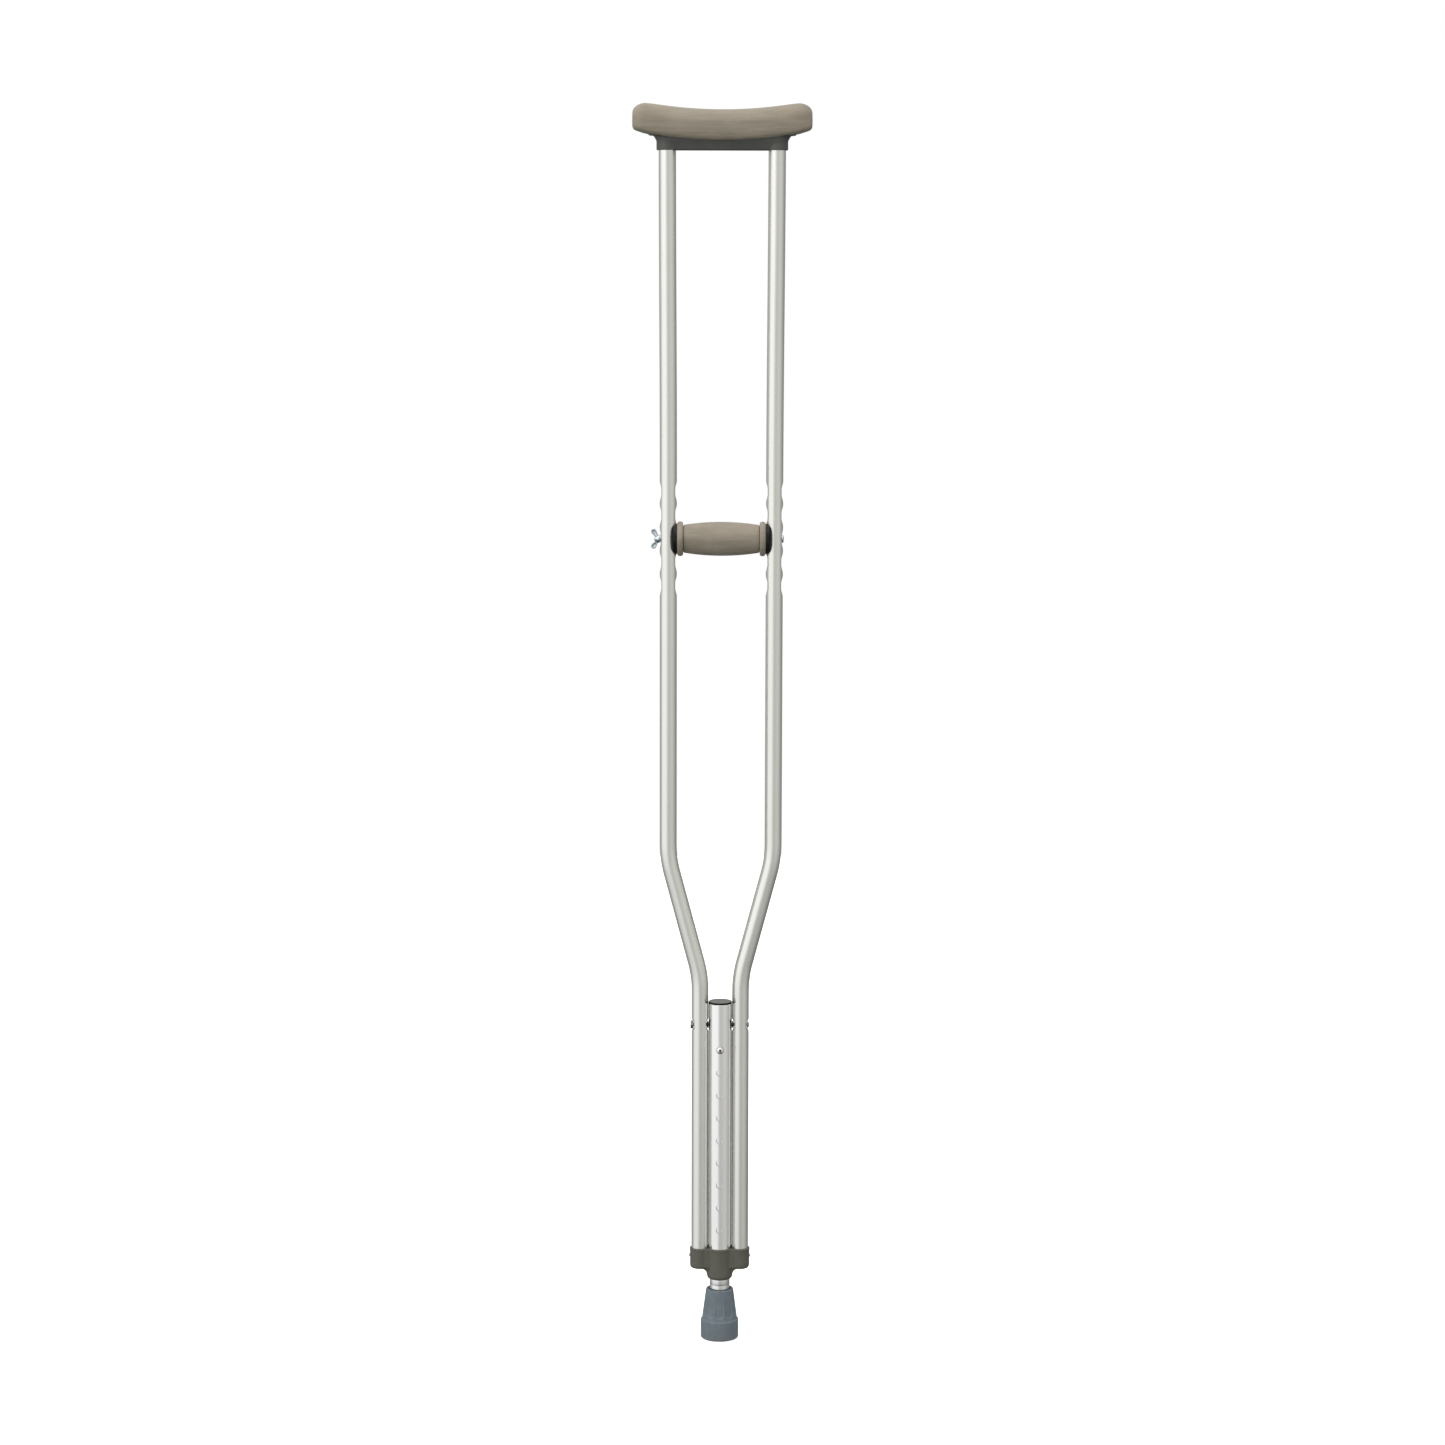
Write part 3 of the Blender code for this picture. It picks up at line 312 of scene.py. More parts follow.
@dataclass(frozen=True)
class PlainSteel(Finish):
    """Rolled steel or soft aluminium with turning marks."""

    tint: Triple = (0.52, 0.52, 0.53)
    roughness: float = 0.36

    def paint(self, dye: Dye) -> None:
        """Fill the material's tree."""
        marks = dye.noise((2600.0, 2600.0, 420.0), 3.0)
        stain = dye.noise(300.0, 3.0)
        worn = tuple(0.72 * part for part in self.tint)
        color = dye.mix(stain.step(0.35, 0.7), worn, self.tint)
        rough = (marks - 0.5) * 0.3 + self.roughness
        dye.surface(Base_Color=color, Metallic=1.0, Roughness=rough, Normal=dye.bump(marks, 0.00002))


@dataclass(frozen=True)
class ButtonNickel(Finish):
    """Polished button whose pressed middle is painted near-black as shade."""

    height: float
    dimple: float

    def paint(self, dye: Dye) -> None:
        """Fill the material's tree."""
        across = dye.coordinate(Axis.X)
        above = dye.coordinate(Axis.Z) - self.height
        from_axis = (across * across + above * above) ** 0.5
        # Inside the dimple the button is painted near-black and not metallic: painted shade in its hole.
        outside_painted_shade = from_axis.step(self.dimple * 0.9, self.dimple * 1.15)
        scuffs = dye.noise(1800.0, 3.0)
        color = dye.mix(outside_painted_shade, (0.015, 0.014, 0.012), (0.86, 0.85, 0.80))
        rough = (1.0 - outside_painted_shade) * 0.45 + scuffs * 0.12 + 0.10
        dye.surface(Base_Color=color, Metallic=outside_painted_shade, Roughness=rough, Normal=dye.bump(scuffs, 0.00001))


@dataclass(frozen=True)
class MouldedPlastic(Finish):
    """Injection-moulded plastic with a fine spark-eroded grain and scuffed patches."""

    tint: Triple
    scuff: Triple
    roughness: float = 0.5
    grain_depth: float = 0.00003
    dust_and_painted_highlight: Triple | None = None
    shine: float = 0.5

    def paint(self, dye: Dye) -> None:
        """Fill the material's tree, with a painted highlight on its upward faces where it has a colour for
        that.
        """
        grain = dye.noise(2300.0, 2.0)
        flow = dye.noise((55.0, 130.0, 90.0), 4.0)
        color = dye.mix(flow.step(0.42, 0.86) * 0.55 + grain * 0.12, self.tint, self.scuff)
        # Upward faces turn towards this colour: a painted highlight for the light that falls on the tops, not
        # dust.
        if self.dust_and_painted_highlight:
            up = dye.part(dye.node("ShaderNodeNewGeometry", out="Normal"), Axis.Z)
            color = dye.mix(up.step(0.5, 0.95) * (grain * 0.3 + 0.75), color, self.dust_and_painted_highlight)
        rough = (flow - 0.5) * 0.2 + (grain - 0.5) * 0.1 + self.roughness
        dye.surface(Base_Color=color, Roughness=rough, Normal=dye.bump(grain, self.grain_depth),
                    Specular_IOR_Level=self.shine)


@dataclass(frozen=True)
class MouldedFoam(Finish):
    """Closed-skin foam with flow streaks along the mould, fine open pores, and painted light that makes its
    upper part lighter.
    """

    tint: Triple = (0.294, 0.256, 0.200)
    olive: Triple = (0.214, 0.194, 0.142)
    blush: Triple = (0.338, 0.286, 0.228)
    # Height and half height of the painted top light.
    middle: float = 1.33
    half_height: float = 0.018

    def paint(self, dye: Dye) -> None:
        """Fill the material's tree."""
        streaks = dye.noise((18.0, 260.0, 340.0), 5.0, 0.62)
        clouds = dye.noise((34.0, 50.0, 60.0), 3.0)
        pores = dye.noise(3300.0, 2.0, 0.7)
        # The upper part is painted lighter, towards the blush colour: painted light for the light that falls
        # on the top.
        above = dye.coordinate(Axis.Z) - self.middle
        painted_top_light = (above / self.half_height).step(-0.9, 0.5)
        ground = dye.mix(streaks.step(0.30, 0.70), self.olive, self.tint)
        warm = dye.mix(clouds.step(0.44, 0.74) * 0.75, ground, self.blush)
        color = dye.mix(painted_top_light * 0.25 + pores * 0.12, warm, self.blush)
        rough = (streaks - 0.5) * 0.12 + 0.80
        height = pores * 0.75 + streaks * 0.25
        dye.surface(Base_Color=color, Roughness=rough, Normal=dye.bump(height, 0.00006, 0.8),
                    Sheen_Weight=0.12, Sheen_Roughness=0.5)


@dataclass(frozen=True)
class TipRubber(Finish):
    """Blue-gray moulded rubber with a chalky bloom and floor dust low down."""

    tint: Triple = (0.130, 0.168, 0.194)
    bloom: Triple = (0.180, 0.214, 0.236)
    # Here this colour is floor dust near the sole.
    dust_and_painted_highlight: Triple = (0.160, 0.172, 0.180)
    dust_height: float = 0.016

    def paint(self, dye: Dye) -> None:
        """Fill the material's tree."""
        clouds = dye.noise((150.0, 150.0, 110.0), 4.0)
        grain = dye.noise(1900.0, 3.0)
        low = 1.0 - dye.coordinate(Axis.Z).step(0.0, self.dust_height)
        skin = dye.mix(clouds.step(0.40, 0.78) * 0.8, self.tint, self.bloom)
        color = dye.mix(low * 0.5 + grain * 0.08, skin, self.dust_and_painted_highlight)
        rough = (clouds - 0.5) * 0.2 + 0.62
        dye.surface(Base_Color=color, Roughness=rough, Normal=dye.bump(grain, 0.00005, 0.7),
                    Sheen_Weight=0.10, Sheen_Roughness=0.4)


@dataclass(frozen=True)
class FloorPaint(Finish):
    """Pale paint that glows a little, so that the floor stays white."""

    tint: Triple = (0.93, 0.93, 0.93)

    def paint(self, dye: Dye) -> None:
        """Fill the material's tree."""
        color = dye.mix(dye.noise(9.0), self.tint, tuple(min(1.0, part * 1.02) for part in self.tint))
        dye.surface(Base_Color=color, Roughness=0.85, Emission_Color=(1.0, 1.0, 1.0, 1.0),
                    Emission_Strength=0.55)


SATIN_TUBE = Anodised("satin_anodised_tube", (0.800, 0.796, 0.770), (0.730, 0.728, 0.690), 0.27)
BRIGHT_TUBE = Anodised("bright_anodised_tube", (0.910, 0.908, 0.905), (0.830, 0.828, 0.825), 0.15)
ZINC = ZincPlate("zinc_plated_steel")
DULL_ZINC = ZincPlate("dull_zinc_plate", (0.34, 0.36, 0.37), (0.16, 0.17, 0.18), 0.34)
RIVET = PlainSteel("rivet_aluminium", (0.66, 0.66, 0.65), 0.34)
STEEL = PlainSteel("rolled_steel")
SADDLE_GRAY = MouldedPlastic("saddle_plastic", (0.074, 0.078, 0.069), (0.112, 0.116, 0.106), 0.46)
COLLAR_OLIVE = MouldedPlastic("collar_plastic", (0.094, 0.093, 0.074), (0.130, 0.129, 0.104), 0.50)
CORE_BLACK = MouldedPlastic("core_plastic", (0.006, 0.006, 0.005), (0.014, 0.014, 0.013), 0.34,
                            shine=0.22)
# Its pale colour on the upward faces is a painted highlight, not dust.
CAP_BLACK = MouldedPlastic("cap_plastic", (0.006, 0.006, 0.005), (0.012, 0.012, 0.011), 0.5,
                           dust_and_painted_highlight=(0.21, 0.21, 0.20), shine=0.15)
TIP_RUBBER = TipRubber("tip_rubber")
FLOOR_PAINT = FloorPaint("floor_paint")


# Meshes -----------------------------------------------------------------------------------------


def shade(piece: bpy.types.Object, crease: float = CREASE) -> None:
    """Smooth a piece's faces and keep its sharp edges."""
    piece.data.shade_smooth()
    piece.data.set_sharp_from_angle(angle=crease)


def make(name: str, shape: Shape) -> bpy.types.Object:
    """Make an object from points and faces, its normals outwards.

    Args:
        name: The piece's name.
        shape: Its points and its faces.

    Returns:
        The new object.
    """
    verts, faces = shape
    mesh = bpy.data.meshes.new(name)
    mesh.from_pydata(verts, [], faces)
    skin = bmesh.new()
    skin.from_mesh(mesh)
    bmesh.ops.recalc_face_normals(skin, faces=skin.faces)
    skin.to_mesh(mesh)
    skin.free()
    piece = bpy.data.objects.new(name, mesh)
    bpy.context.scene.collection.objects.link(piece)
    shade(piece)
    return piece


def soften(profile: Profile, radius: float, closed: bool, steps: int = 4) -> Profile:
    """Round a profile's corners.

    Args:
        profile: Pairs of radius and place along the axis.
        radius: How far from a corner its rounding starts.
        closed: Whether the last point joins the first.
        steps: How many lines a rounding has.

    Returns:
        The rounded profile.
    """
    made: Profile = []
    count = len(profile)
    for k, corner in enumerate(profile):
        if not closed and k in (0, count - 1):
            made.append(corner)
            continue
        here = Vector(corner)
        back = Vector(profile[k - 1]) - here
        ahead = Vector(profile[(k + 1) % count]) - here
        reach = min(radius, 0.42 * back.length, 0.42 * ahead.length)
        start = here + back.normalized() * reach
        end = here + ahead.normalized() * reach
        for step in range(steps + 1):
            t = step / steps
            point = start * (1 - t) ** 2 + here * 2 * t * (1 - t) + end * t * t
            made.append((point.x, point.y))
    return made


def turned(profile: Profile, axis: Axis, center: Triple, sides: int = 64, wave: Wave | None = None,
           phase: float = 0.0) -> Shape:
    """Turn a profile round an axis.

    Args:
        profile: Pairs of radius and place along the axis. It is solid if both ends lie on the
            axis, and closes into a ring if they don't.
        axis: The axis.
        center: A point of the axis, where along is 0.
        sides: How many facets it has round.
        wave: What is added to the radius at an angle and a place along.
        phase: How far the facets are turned.

    Returns:
        Points and faces.
    """
    verts: list[Triple] = []
    rings: list[list[int]] = []
    cx, cy, cz = center
    for radius, along in profile:
        count = 1 if radius == 0.0 else sides
        start = len(verts)
        for k in range(count):
            angle = tau * k / sides + phase
            grown = radius + (wave(angle, along) if wave and radius else 0.0)
            a, b = grown * cos(angle), grown * sin(angle)
            spot = {Axis.X: (along, a, b), Axis.Y: (a, along, b), Axis.Z: (a, b, along)}[axis]
            verts.append((cx + spot[0], cy + spot[1], cz + spot[2]))
        rings.append([start] * sides if count == 1 else list(range(start, start + sides)))
    pairs = list(zip(rings, rings[1:]))
    if profile[0][0] != 0.0 or profile[-1][0] != 0.0:
        pairs.append((rings[-1], rings[0]))
    faces: list[tuple[int, ...]] = []
    for low, high in pairs:
        for k in range(sides):
            n = (k + 1) % sides
            face = tuple(dict.fromkeys((low[k], low[n], high[n], high[k])))
            if len(face) > 2:
                faces.append(face)
    return verts, faces


def lofted(rings: Sequence[Sequence[Triple]], closed: bool = False) -> Shape:
    """Join rings of points into a skin, capped at both ends unless it closes on itself."""
    count = len(rings[0])
    verts = [point for ring in rings for point in ring]
    faces: list[tuple[int, ...]] = []
    for i in range(len(rings) if closed else len(rings) - 1):
        low, high = i * count, ((i + 1) % len(rings)) * count
        for k in range(count):
            n = (k + 1) % count
            faces.append((low + k, low + n, high + n, high + k))
    if not closed:
        faces.append(tuple(range(count)))
        faces.append(tuple(range(len(verts) - count, len(verts))))
    return verts, faces


def rod(axis: Axis, center: Triple, radius: float, start: float, end: float, sides: int = 32) -> Shape:
    """Return a plain rod along an axis through center."""
    profile = [(0.0, start), (radius, start), (radius, end), (0.0, end)]
    return turned(profile, axis, center, sides, phase=pi / sides)


def pair(axis: Axis, span: float, height: float, radius: float, start: float, end: float,
         sides: int = 32) -> Shape:
    """Return two plain rods, one on each side of the middle."""
    return together([rod(axis, (side * span, 0.0, height), radius, start, end, sides) for side in (1, -1)])


def block(low: Triple, high: Triple) -> Shape:
    """Return a box between two corners, as a cutter."""
    verts = [(x, y, z) for x in (low[0], high[0]) for y in (low[1], high[1]) for z in (low[2], high[2])]
    faces = [(0, 1, 3, 2), (4, 6, 7, 5), (0, 4, 5, 1), (2, 3, 7, 6), (0, 2, 6, 4), (1, 5, 7, 3)]
    return verts, faces


def together(shapes: Iterable[Shape]) -> Shape:
    """Return several separate shapes as one."""
    verts: list[Triple] = []
    faces: list[tuple[int, ...]] = []
    for points, sides in shapes:
        start = len(verts)
        verts.extend(points)
        faces.extend(tuple(start + k for k in face) for face in sides)
    return verts, faces


def settle(piece: bpy.types.Object) -> None:
    """Turn a piece's modifiers into mesh."""
    bpy.context.view_layer.update()
    graph = bpy.context.evaluated_depsgraph_get()
    mesh = bpy.data.meshes.new_from_object(piece.evaluated_get(graph))
    old = piece.data
    piece.modifiers.clear()
    piece.data = mesh
    bpy.data.meshes.remove(old)


def carve(piece: bpy.types.Object, how: Carve, *shapes: Shape) -> None:
    """Cut shapes away from a piece, or join them to it."""
    for shape in shapes:
        tool = make("tool", shape)
        modifier = piece.modifiers.new("carve", "BOOLEAN")
        modifier.operation = how.value
        modifier.solver = "EXACT"
        modifier.object = tool
        settle(piece)
        bpy.data.objects.remove(tool, do_unlink=True)
    shade(piece)


def mould(piece: bpy.types.Object, voxel: float, passes: int) -> None:
    """Blend a piece's joints as a mould does: an even skin, then some passes of smoothing."""
    remesh = piece.modifiers.new("even", "REMESH")
    remesh.mode = "VOXEL"
    remesh.voxel_size = voxel
    smooth = piece.modifiers.new("blend", "SMOOTH")
    smooth.factor = 0.5
    smooth.iterations = passes
    settle(piece)
    shade(piece)


def swell(piece: bpy.types.Object, pressure: float, limit: float, frames: int = 14) -> None:
    """Blow a foam skin up a little, as cloth under pressure.

    Args:
        piece: The skin, with an even mesh.
        pressure: The cloth's inner pressure.
        limit: How far a point may move.
        frames: How many steps the cloth takes.
    """
    rest = [v.co.copy() for v in piece.data.vertices]
    cloth = piece.modifiers.new("swell", "CLOTH")
    cloth.settings.use_pressure = True
    cloth.settings.uniform_pressure_force = pressure
    cloth.settings.effector_weights.gravity = 0.0
    cloth.settings.tension_stiffness = 25.0
    cloth.settings.compression_stiffness = 25.0
    cloth.point_cache.frame_start = 1
    cloth.point_cache.frame_end = frames
    scene = bpy.context.scene
    for frame in range(1, frames + 1):
        scene.frame_set(frame)
    graph = bpy.context.evaluated_depsgraph_get()
    blown = [v.co.copy() for v in piece.evaluated_get(graph).data.vertices]
    piece.modifiers.clear()
    scene.frame_set(1)
    for vertex, start, end in zip(piece.data.vertices, rest, blown):
        move = end - start
        if move.length > limit:
            move *= limit / move.length
        vertex.co = start + move
    piece.data.update()


def fit(piece: bpy.types.Object, body: Body, finish: Finish, slot: str, *nodes: str) -> bpy.types.Object:
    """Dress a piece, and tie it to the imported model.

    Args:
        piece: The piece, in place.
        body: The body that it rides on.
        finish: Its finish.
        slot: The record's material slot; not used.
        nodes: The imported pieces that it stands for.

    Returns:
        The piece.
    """
    piece.data.materials.clear()
    piece.data.materials.append(finish.material())
    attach(piece, body.value)
    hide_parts(*nodes)
    LOG.info("%s rides on %s: %d faces", piece.name, body.value, len(piece.data.polygons))
    return piece


def middle(node: str) -> Vector:
    """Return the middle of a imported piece's box."""
    low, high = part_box(node)
    return (low + high) / 2


def domed(seat: float, radius: float, thickness: float, steps: int = 8) -> Profile:
    """Return the profile of a domed head from its rim to its crown, growing along the axis."""
    points = [(radius, seat)]
    for k in range(steps + 1):
        angle = 0.5 * pi * k / steps
        reach = 0.0 if k == steps else radius * cos(angle)
        points.append((reach, seat + thickness * (0.35 + 0.65 * sin(angle))))
    return points


def soft_least(a: float, b: float, blend: float) -> float:
    """Return the lesser of two numbers, with a rounded change from one to the other."""
    least = min(a, b)
    return least - blend * log(exp((least - a) / blend) + exp((least - b) / blend))


def smooth_step(t: float) -> float:
    """Return a smooth step of t, which is held between 0 and 1."""
    t = max(0.0, min(1.0, t))
    return t * t * (3 - 2 * t)


# Tubes ------------------------------------------------------------------------------------------


@dataclass
class SideTubes:
    """The two bent side tubes, with the pressed seats of the handgrip and the cross bolt."""

    radius: float = 0.00924
    wall: float = 0.00144
    bend_above_tube: float = 0.0136
    bend_angle: float = radians(15.0)
    bend_radius: float = 0.125
    stations: int = 5
    grip_dent: float = 0.00145
    free_dent: float = 0.0018
    grip_run: float = 0.0118
    cross_dent: float = 0.0024
    cross_run: float = 0.0066
    grip_flat: float = 0.0030
    cross_flat: float = 0.0042
    grip_hole: float = 0.0028
    sides: int = 56
    fine_step: float = 0.0014
    coarse_step: float = 0.0120
    bend_step: float = 0.003

    def grip_heights(self) -> list[float]:
        """Return the heights of the handgrip's stations."""
        grip = middle("grip_bolt").z
        return [grip + (k - (self.stations - 1) / 2) * HOLE_PITCH for k in range(self.stations)]

    def pressed(self, z: float) -> float:
        """Return how far the tube is pressed in at a height."""
        grip = middle("grip_bolt").z
        seats = [(middle("cross_bolt").z, self.cross_dent, self.cross_run, self.cross_flat)]
        for height in self.grip_heights():
            dent = self.grip_dent if abs(height - grip) < HOLE_PITCH / 2 else self.free_dent
            seats.append((height, dent, self.grip_run, self.grip_flat))
        depth = 0.0
        for height, deep, run, flat in seats:
            share = (run - abs(z - height)) / (run - flat)
            depth = max(depth, deep * smooth_step(share))
        return depth

    def at(self, s: float) -> Triple:
        """Return (x, z, lean) on the right tube's centre line, s metres past the bend's start."""
        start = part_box("center_tube")[1].z + self.bend_above_tube
        angle, bend = self.bend_angle, self.bend_radius
        arc = bend * angle
        slope = (GRIP_SPAN - LOW_SPAN - 2 * bend * (1 - cos(angle))) / sin(angle)
        if s <= 0.0:
            return LOW_SPAN, start + s, 0.0
        if s <= arc:
            lean = s / bend
            return LOW_SPAN + bend * (1 - cos(lean)), start + bend * sin(lean), lean
        if s <= arc + slope:
            run = s - arc
            x = LOW_SPAN + bend * (1 - cos(angle)) + run * sin(angle)
            return x, start + bend * sin(angle) + run * cos(angle), angle
        end = start + 2 * bend * sin(angle) + slope * cos(angle)
        if s <= 2 * arc + slope:
            lean = angle - (s - arc - slope) / bend
            return GRIP_SPAN - bend * (1 - cos(lean)), end - bend * sin(lean), lean
        z = end + s - 2 * arc - slope
        splay_start = self.grip_heights()[-1] + HOLE_PITCH
        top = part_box("side_tube_right")[1].z
        share = smooth_step((z - splay_start) / (top - splay_start))
        return GRIP_SPAN + (TOP_SPAN - GRIP_SPAN) * share, z, 0.0

    def ring(self, spot: Triple, radius: float) -> list[Triple]:
        """Return a ring across the right tube, its middle at (x, z, lean)."""
        x, z, lean = spot
        dent = self.pressed(z)
        points = []
        for k in range(self.sides):
            angle = tau * k / self.sides
            across = radius * cos(angle)
            if dent > 1e-5:
                held = soft_least(abs(across), radius - dent, dent * 0.2)
                across = held if across > 0 else -held
            points.append((x + across * cos(lean), radius * sin(angle), z - across * sin(lean)))
        return points

    def spots(self) -> list[Triple]:
        """Return where the rings go, close together at the pressed seats and in the bends."""
        foot, top = (corner.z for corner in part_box("side_tube_right"))
        s = foot - self.at(0.0)[1]
        spots = []
        while True:
            spot = self.at(s)
            if spot[1] >= top - self.fine_step:
                break
            spots.append(spot)
            near = self.pressed(spot[1]) + self.pressed(spot[1] + self.coarse_step) > 0.0
            s += self.fine_step if near else self.coarse_step if spot[2] == 0.0 else self.bend_step
        x, _, lean = self.at(s)
        return spots + [(x, top, lean)]

    def tube(self) -> bpy.types.Object:
        """Return the right tube, with its holes."""
        spots = self.spots()
        outer = [self.ring(spot, self.radius) for spot in spots]
        inner = [self.ring(spot, self.radius - self.wall) for spot in reversed(spots)]
        piece = make("bent_side_tube_right", lofted(outer + inner, closed=True))
        reach = self.radius + PIERCE
        nodes = ("cross_bolt", "collar_rivet_right", "saddle_rivet_right")
        cross, low, top = (middle(node).z for node in nodes)
        holes = [rod(Axis.X, (GRIP_SPAN, 0.0, z), self.grip_hole, -reach, reach, 24)
                 for z in self.grip_heights()]
        holes += [
            rod(Axis.X, (LOW_SPAN, 0.0, cross), CROSS_HOLE, -reach, reach, 24),
            rod(Axis.X, (LOW_SPAN, 0.0, low), RIVET_HOLE, 0.0, reach, 24),
            rod(Axis.Y, (TOP_SPAN, 0.0, top), RIVET_HOLE, 0.0, reach, 24),
        ]
        carve(piece, Carve.TAKE, together(holes))
        return piece

    def build(self) -> None:
        """Build and dress both tubes, the left one as the right one's mirror image."""
        right = self.tube()
        mesh = right.data.copy()
        mesh.transform(Matrix.Scale(-1.0, 4, (1.0, 0.0, 0.0)))
        mesh.flip_normals()
        left = bpy.data.objects.new("bent_side_tube_left", mesh)
        bpy.context.scene.collection.objects.link(left)
        fit(right, Body.FRAME, SATIN_TUBE, "satin_aluminium", "side_tube_right")
        fit(left, Body.FRAME, SATIN_TUBE, "satin_aluminium", "side_tube_left")


@dataclass
class Leg:
    """The centre tube with its height holes and cap, and the telescoping leg with its buttons."""

    center_radius: float = 0.0128
    center_wall: float = 0.0013
    leg_wall: float = 0.0014
    hole: float = 0.0041
    stations: int = 9
    sides: int = 96
    ring_step: float = 0.00635
    edge: float = 0.0003
    groove_above_tip: float = 0.0046
    groove: float = 0.00012
    cap_rim: float = 0.0020
    cap_dish: float = 0.0004
    cap_plug: float = 0.0100
    button_radius: float = 0.0037
    button_proud: float = 0.0023
    dimple: float = 0.0013
    stem_radius: float = 0.0015
    stem_head: float = 0.0023
    stem_head_thickness: float = 0.0006
    stem_length: float = 0.0018
    dome_angle: float = radians(74.0)
    hole_height: float = field(init=False)

    def __post_init__(self) -> None:
        """Read the top hole's height from the snap button."""
        self.hole_height = middle("snap_button_front").z

    def tube(self, name: str, radius: float, wall: float, ends: tuple[float, float],
             grooves: Sequence[float] = ()) -> bpy.types.Object:
        """Return a straight tube round the centre line.

        Args:
            name: The piece's name.
            radius: Its outer radius.
            wall: Its wall.
            ends: The heights of its foot and its top.
            grooves: The heights of fine turned lines.

        Returns:
            The tube.
        """
        foot, top = ends
        count = max(2, round((top - foot) / self.ring_step))
        heights = [foot + (top - foot) * k / count for k in range(count + 1)]
        soft = self.edge
        bore = radius - wall
        outer = [(radius - soft, foot), (radius, foot + soft)]
        outer += [(radius, z) for z in heights[1:-1]]
        for z in grooves:
            outer += [(radius, z - soft), (radius - self.groove, z), (radius, z + soft)]
        outer = outer[:2] + sorted(outer[2:], key=lambda point: point[1])
        outer += [(radius, top - soft), (radius - soft, top)]
        inner = [(bore, z) for z in reversed(heights)]
        return make(name, turned(outer + inner, Axis.Z, ORIGIN, self.sides))

    def center_tube(self) -> bpy.types.Object:
        """Return the centre tube with its holes, front and back."""
        foot, top = (corner.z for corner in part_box("center_tube"))
        piece = self.tube("center_tube_drilled", self.center_radius, self.center_wall, (foot, top))
        reach = self.center_radius + PIERCE
        heights = [self.hole_height - k * HOLE_PITCH for k in range(self.stations)]
        holes = [rod(Axis.Y, (0.0, 0.0, z), self.hole, -reach, reach, 48) for z in heights]
        cross = rod(Axis.X, (0.0, 0.0, middle("cross_bolt").z), CROSS_HOLE, -reach, reach)
        carve(piece, Carve.TAKE, together(holes), cross)
        return piece

    def leg_tube(self) -> bpy.types.Object:
        """Return the sliding tube."""
        foot, top = (corner.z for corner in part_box("extension_tube"))
        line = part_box("rubber_tip")[1].z + self.groove_above_tip
        piece = self.tube("leg_tube", LEG_RADIUS, self.leg_wall, (foot, top), (line,))
        reach = LEG_RADIUS + PIERCE
        carve(piece, Carve.TAKE, rod(Axis.Y, (0.0, 0.0, self.hole_height), self.hole, -reach, reach, 48))
        return piece

    def cap(self) -> bpy.types.Object:
        """Return the cap that closes the centre tube."""
        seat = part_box("center_tube")[1].z + GAP
        plug = self.center_radius - self.center_wall - GAP
        bore = plug - 0.0018
        rim = self.center_radius
        high = seat + self.cap_rim
        profile = [
            (0.0, high - self.cap_dish), (rim - 0.0018, high - self.cap_dish), (rim - 0.0013, high),
            (rim - 0.0005, high), (rim, high - 0.0006), (rim, seat), (plug, seat),
            (plug, seat - self.cap_plug), (bore, seat - self.cap_plug), (bore, seat), (0.0, seat),
        ]
        shape = turned(soften(profile, 0.0002, False), Axis.Z, ORIGIN, self.sides)
        return make("center_tube_plug_cap", shape)

    def button(self, side: int) -> bpy.types.Object:
        """Return a snap button, the front one for -1 and the back one for +1."""
        word = "front" if side < 0 else "back"
        low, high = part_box(f"snap_button_{word}")
        inner = min(abs(low.y), abs(high.y))
        crown = self.center_radius + self.button_proud
        base, ledge = inner + self.stem_length, inner + self.stem_head_thickness
        shoulder = crown - self.button_radius * 0.34
        profile = [(0.0, inner), (self.stem_head, inner), (self.stem_head, ledge), (self.stem_radius, ledge),
                   (self.stem_radius, base), (self.button_radius, base), (self.button_radius, shoulder)]
        for k in range(1, 9):
            angle = self.dome_angle * k / 8
            rise = (crown - shoulder) * sin(angle) / sin(self.dome_angle)
            profile.append((self.button_radius * cos(angle), shoulder + rise))
        profile += [(self.dimple, crown - 0.0002), (self.dimple * 0.85, crown - 0.0012),
                    (0.0, crown - 0.0014)]
        mirrored = [(radius, side * along) for radius, along in soften(profile, 0.00012, False, 2)]
        shape = turned(mirrored, Axis.Y, (0.0, 0.0, self.hole_height), 48)
        return make(f"snap_button_{word}_domed", shape)

    def build(self) -> None:
        """Build and dress the tubes, the cap and the buttons."""
        fit(self.center_tube(), Body.FRAME, BRIGHT_TUBE, "bright_aluminium", "center_tube")
        fit(self.leg_tube(), Body.LEG, BRIGHT_TUBE, "bright_aluminium", "extension_tube")
        fit(self.cap(), Body.FRAME, CAP_BLACK, "core_plastic", "center_tube_cap")
        nickel = ButtonNickel("button_nickel", self.hole_height, self.dimple)
        fit(self.button(-1), Body.FRONT_BUTTON, nickel, "button_chrome", "snap_button_front")
        fit(self.button(1), Body.BACK_BUTTON, nickel, "button_chrome", "snap_button_back")


# Fasteners --------------------------------------------------------------------------------------


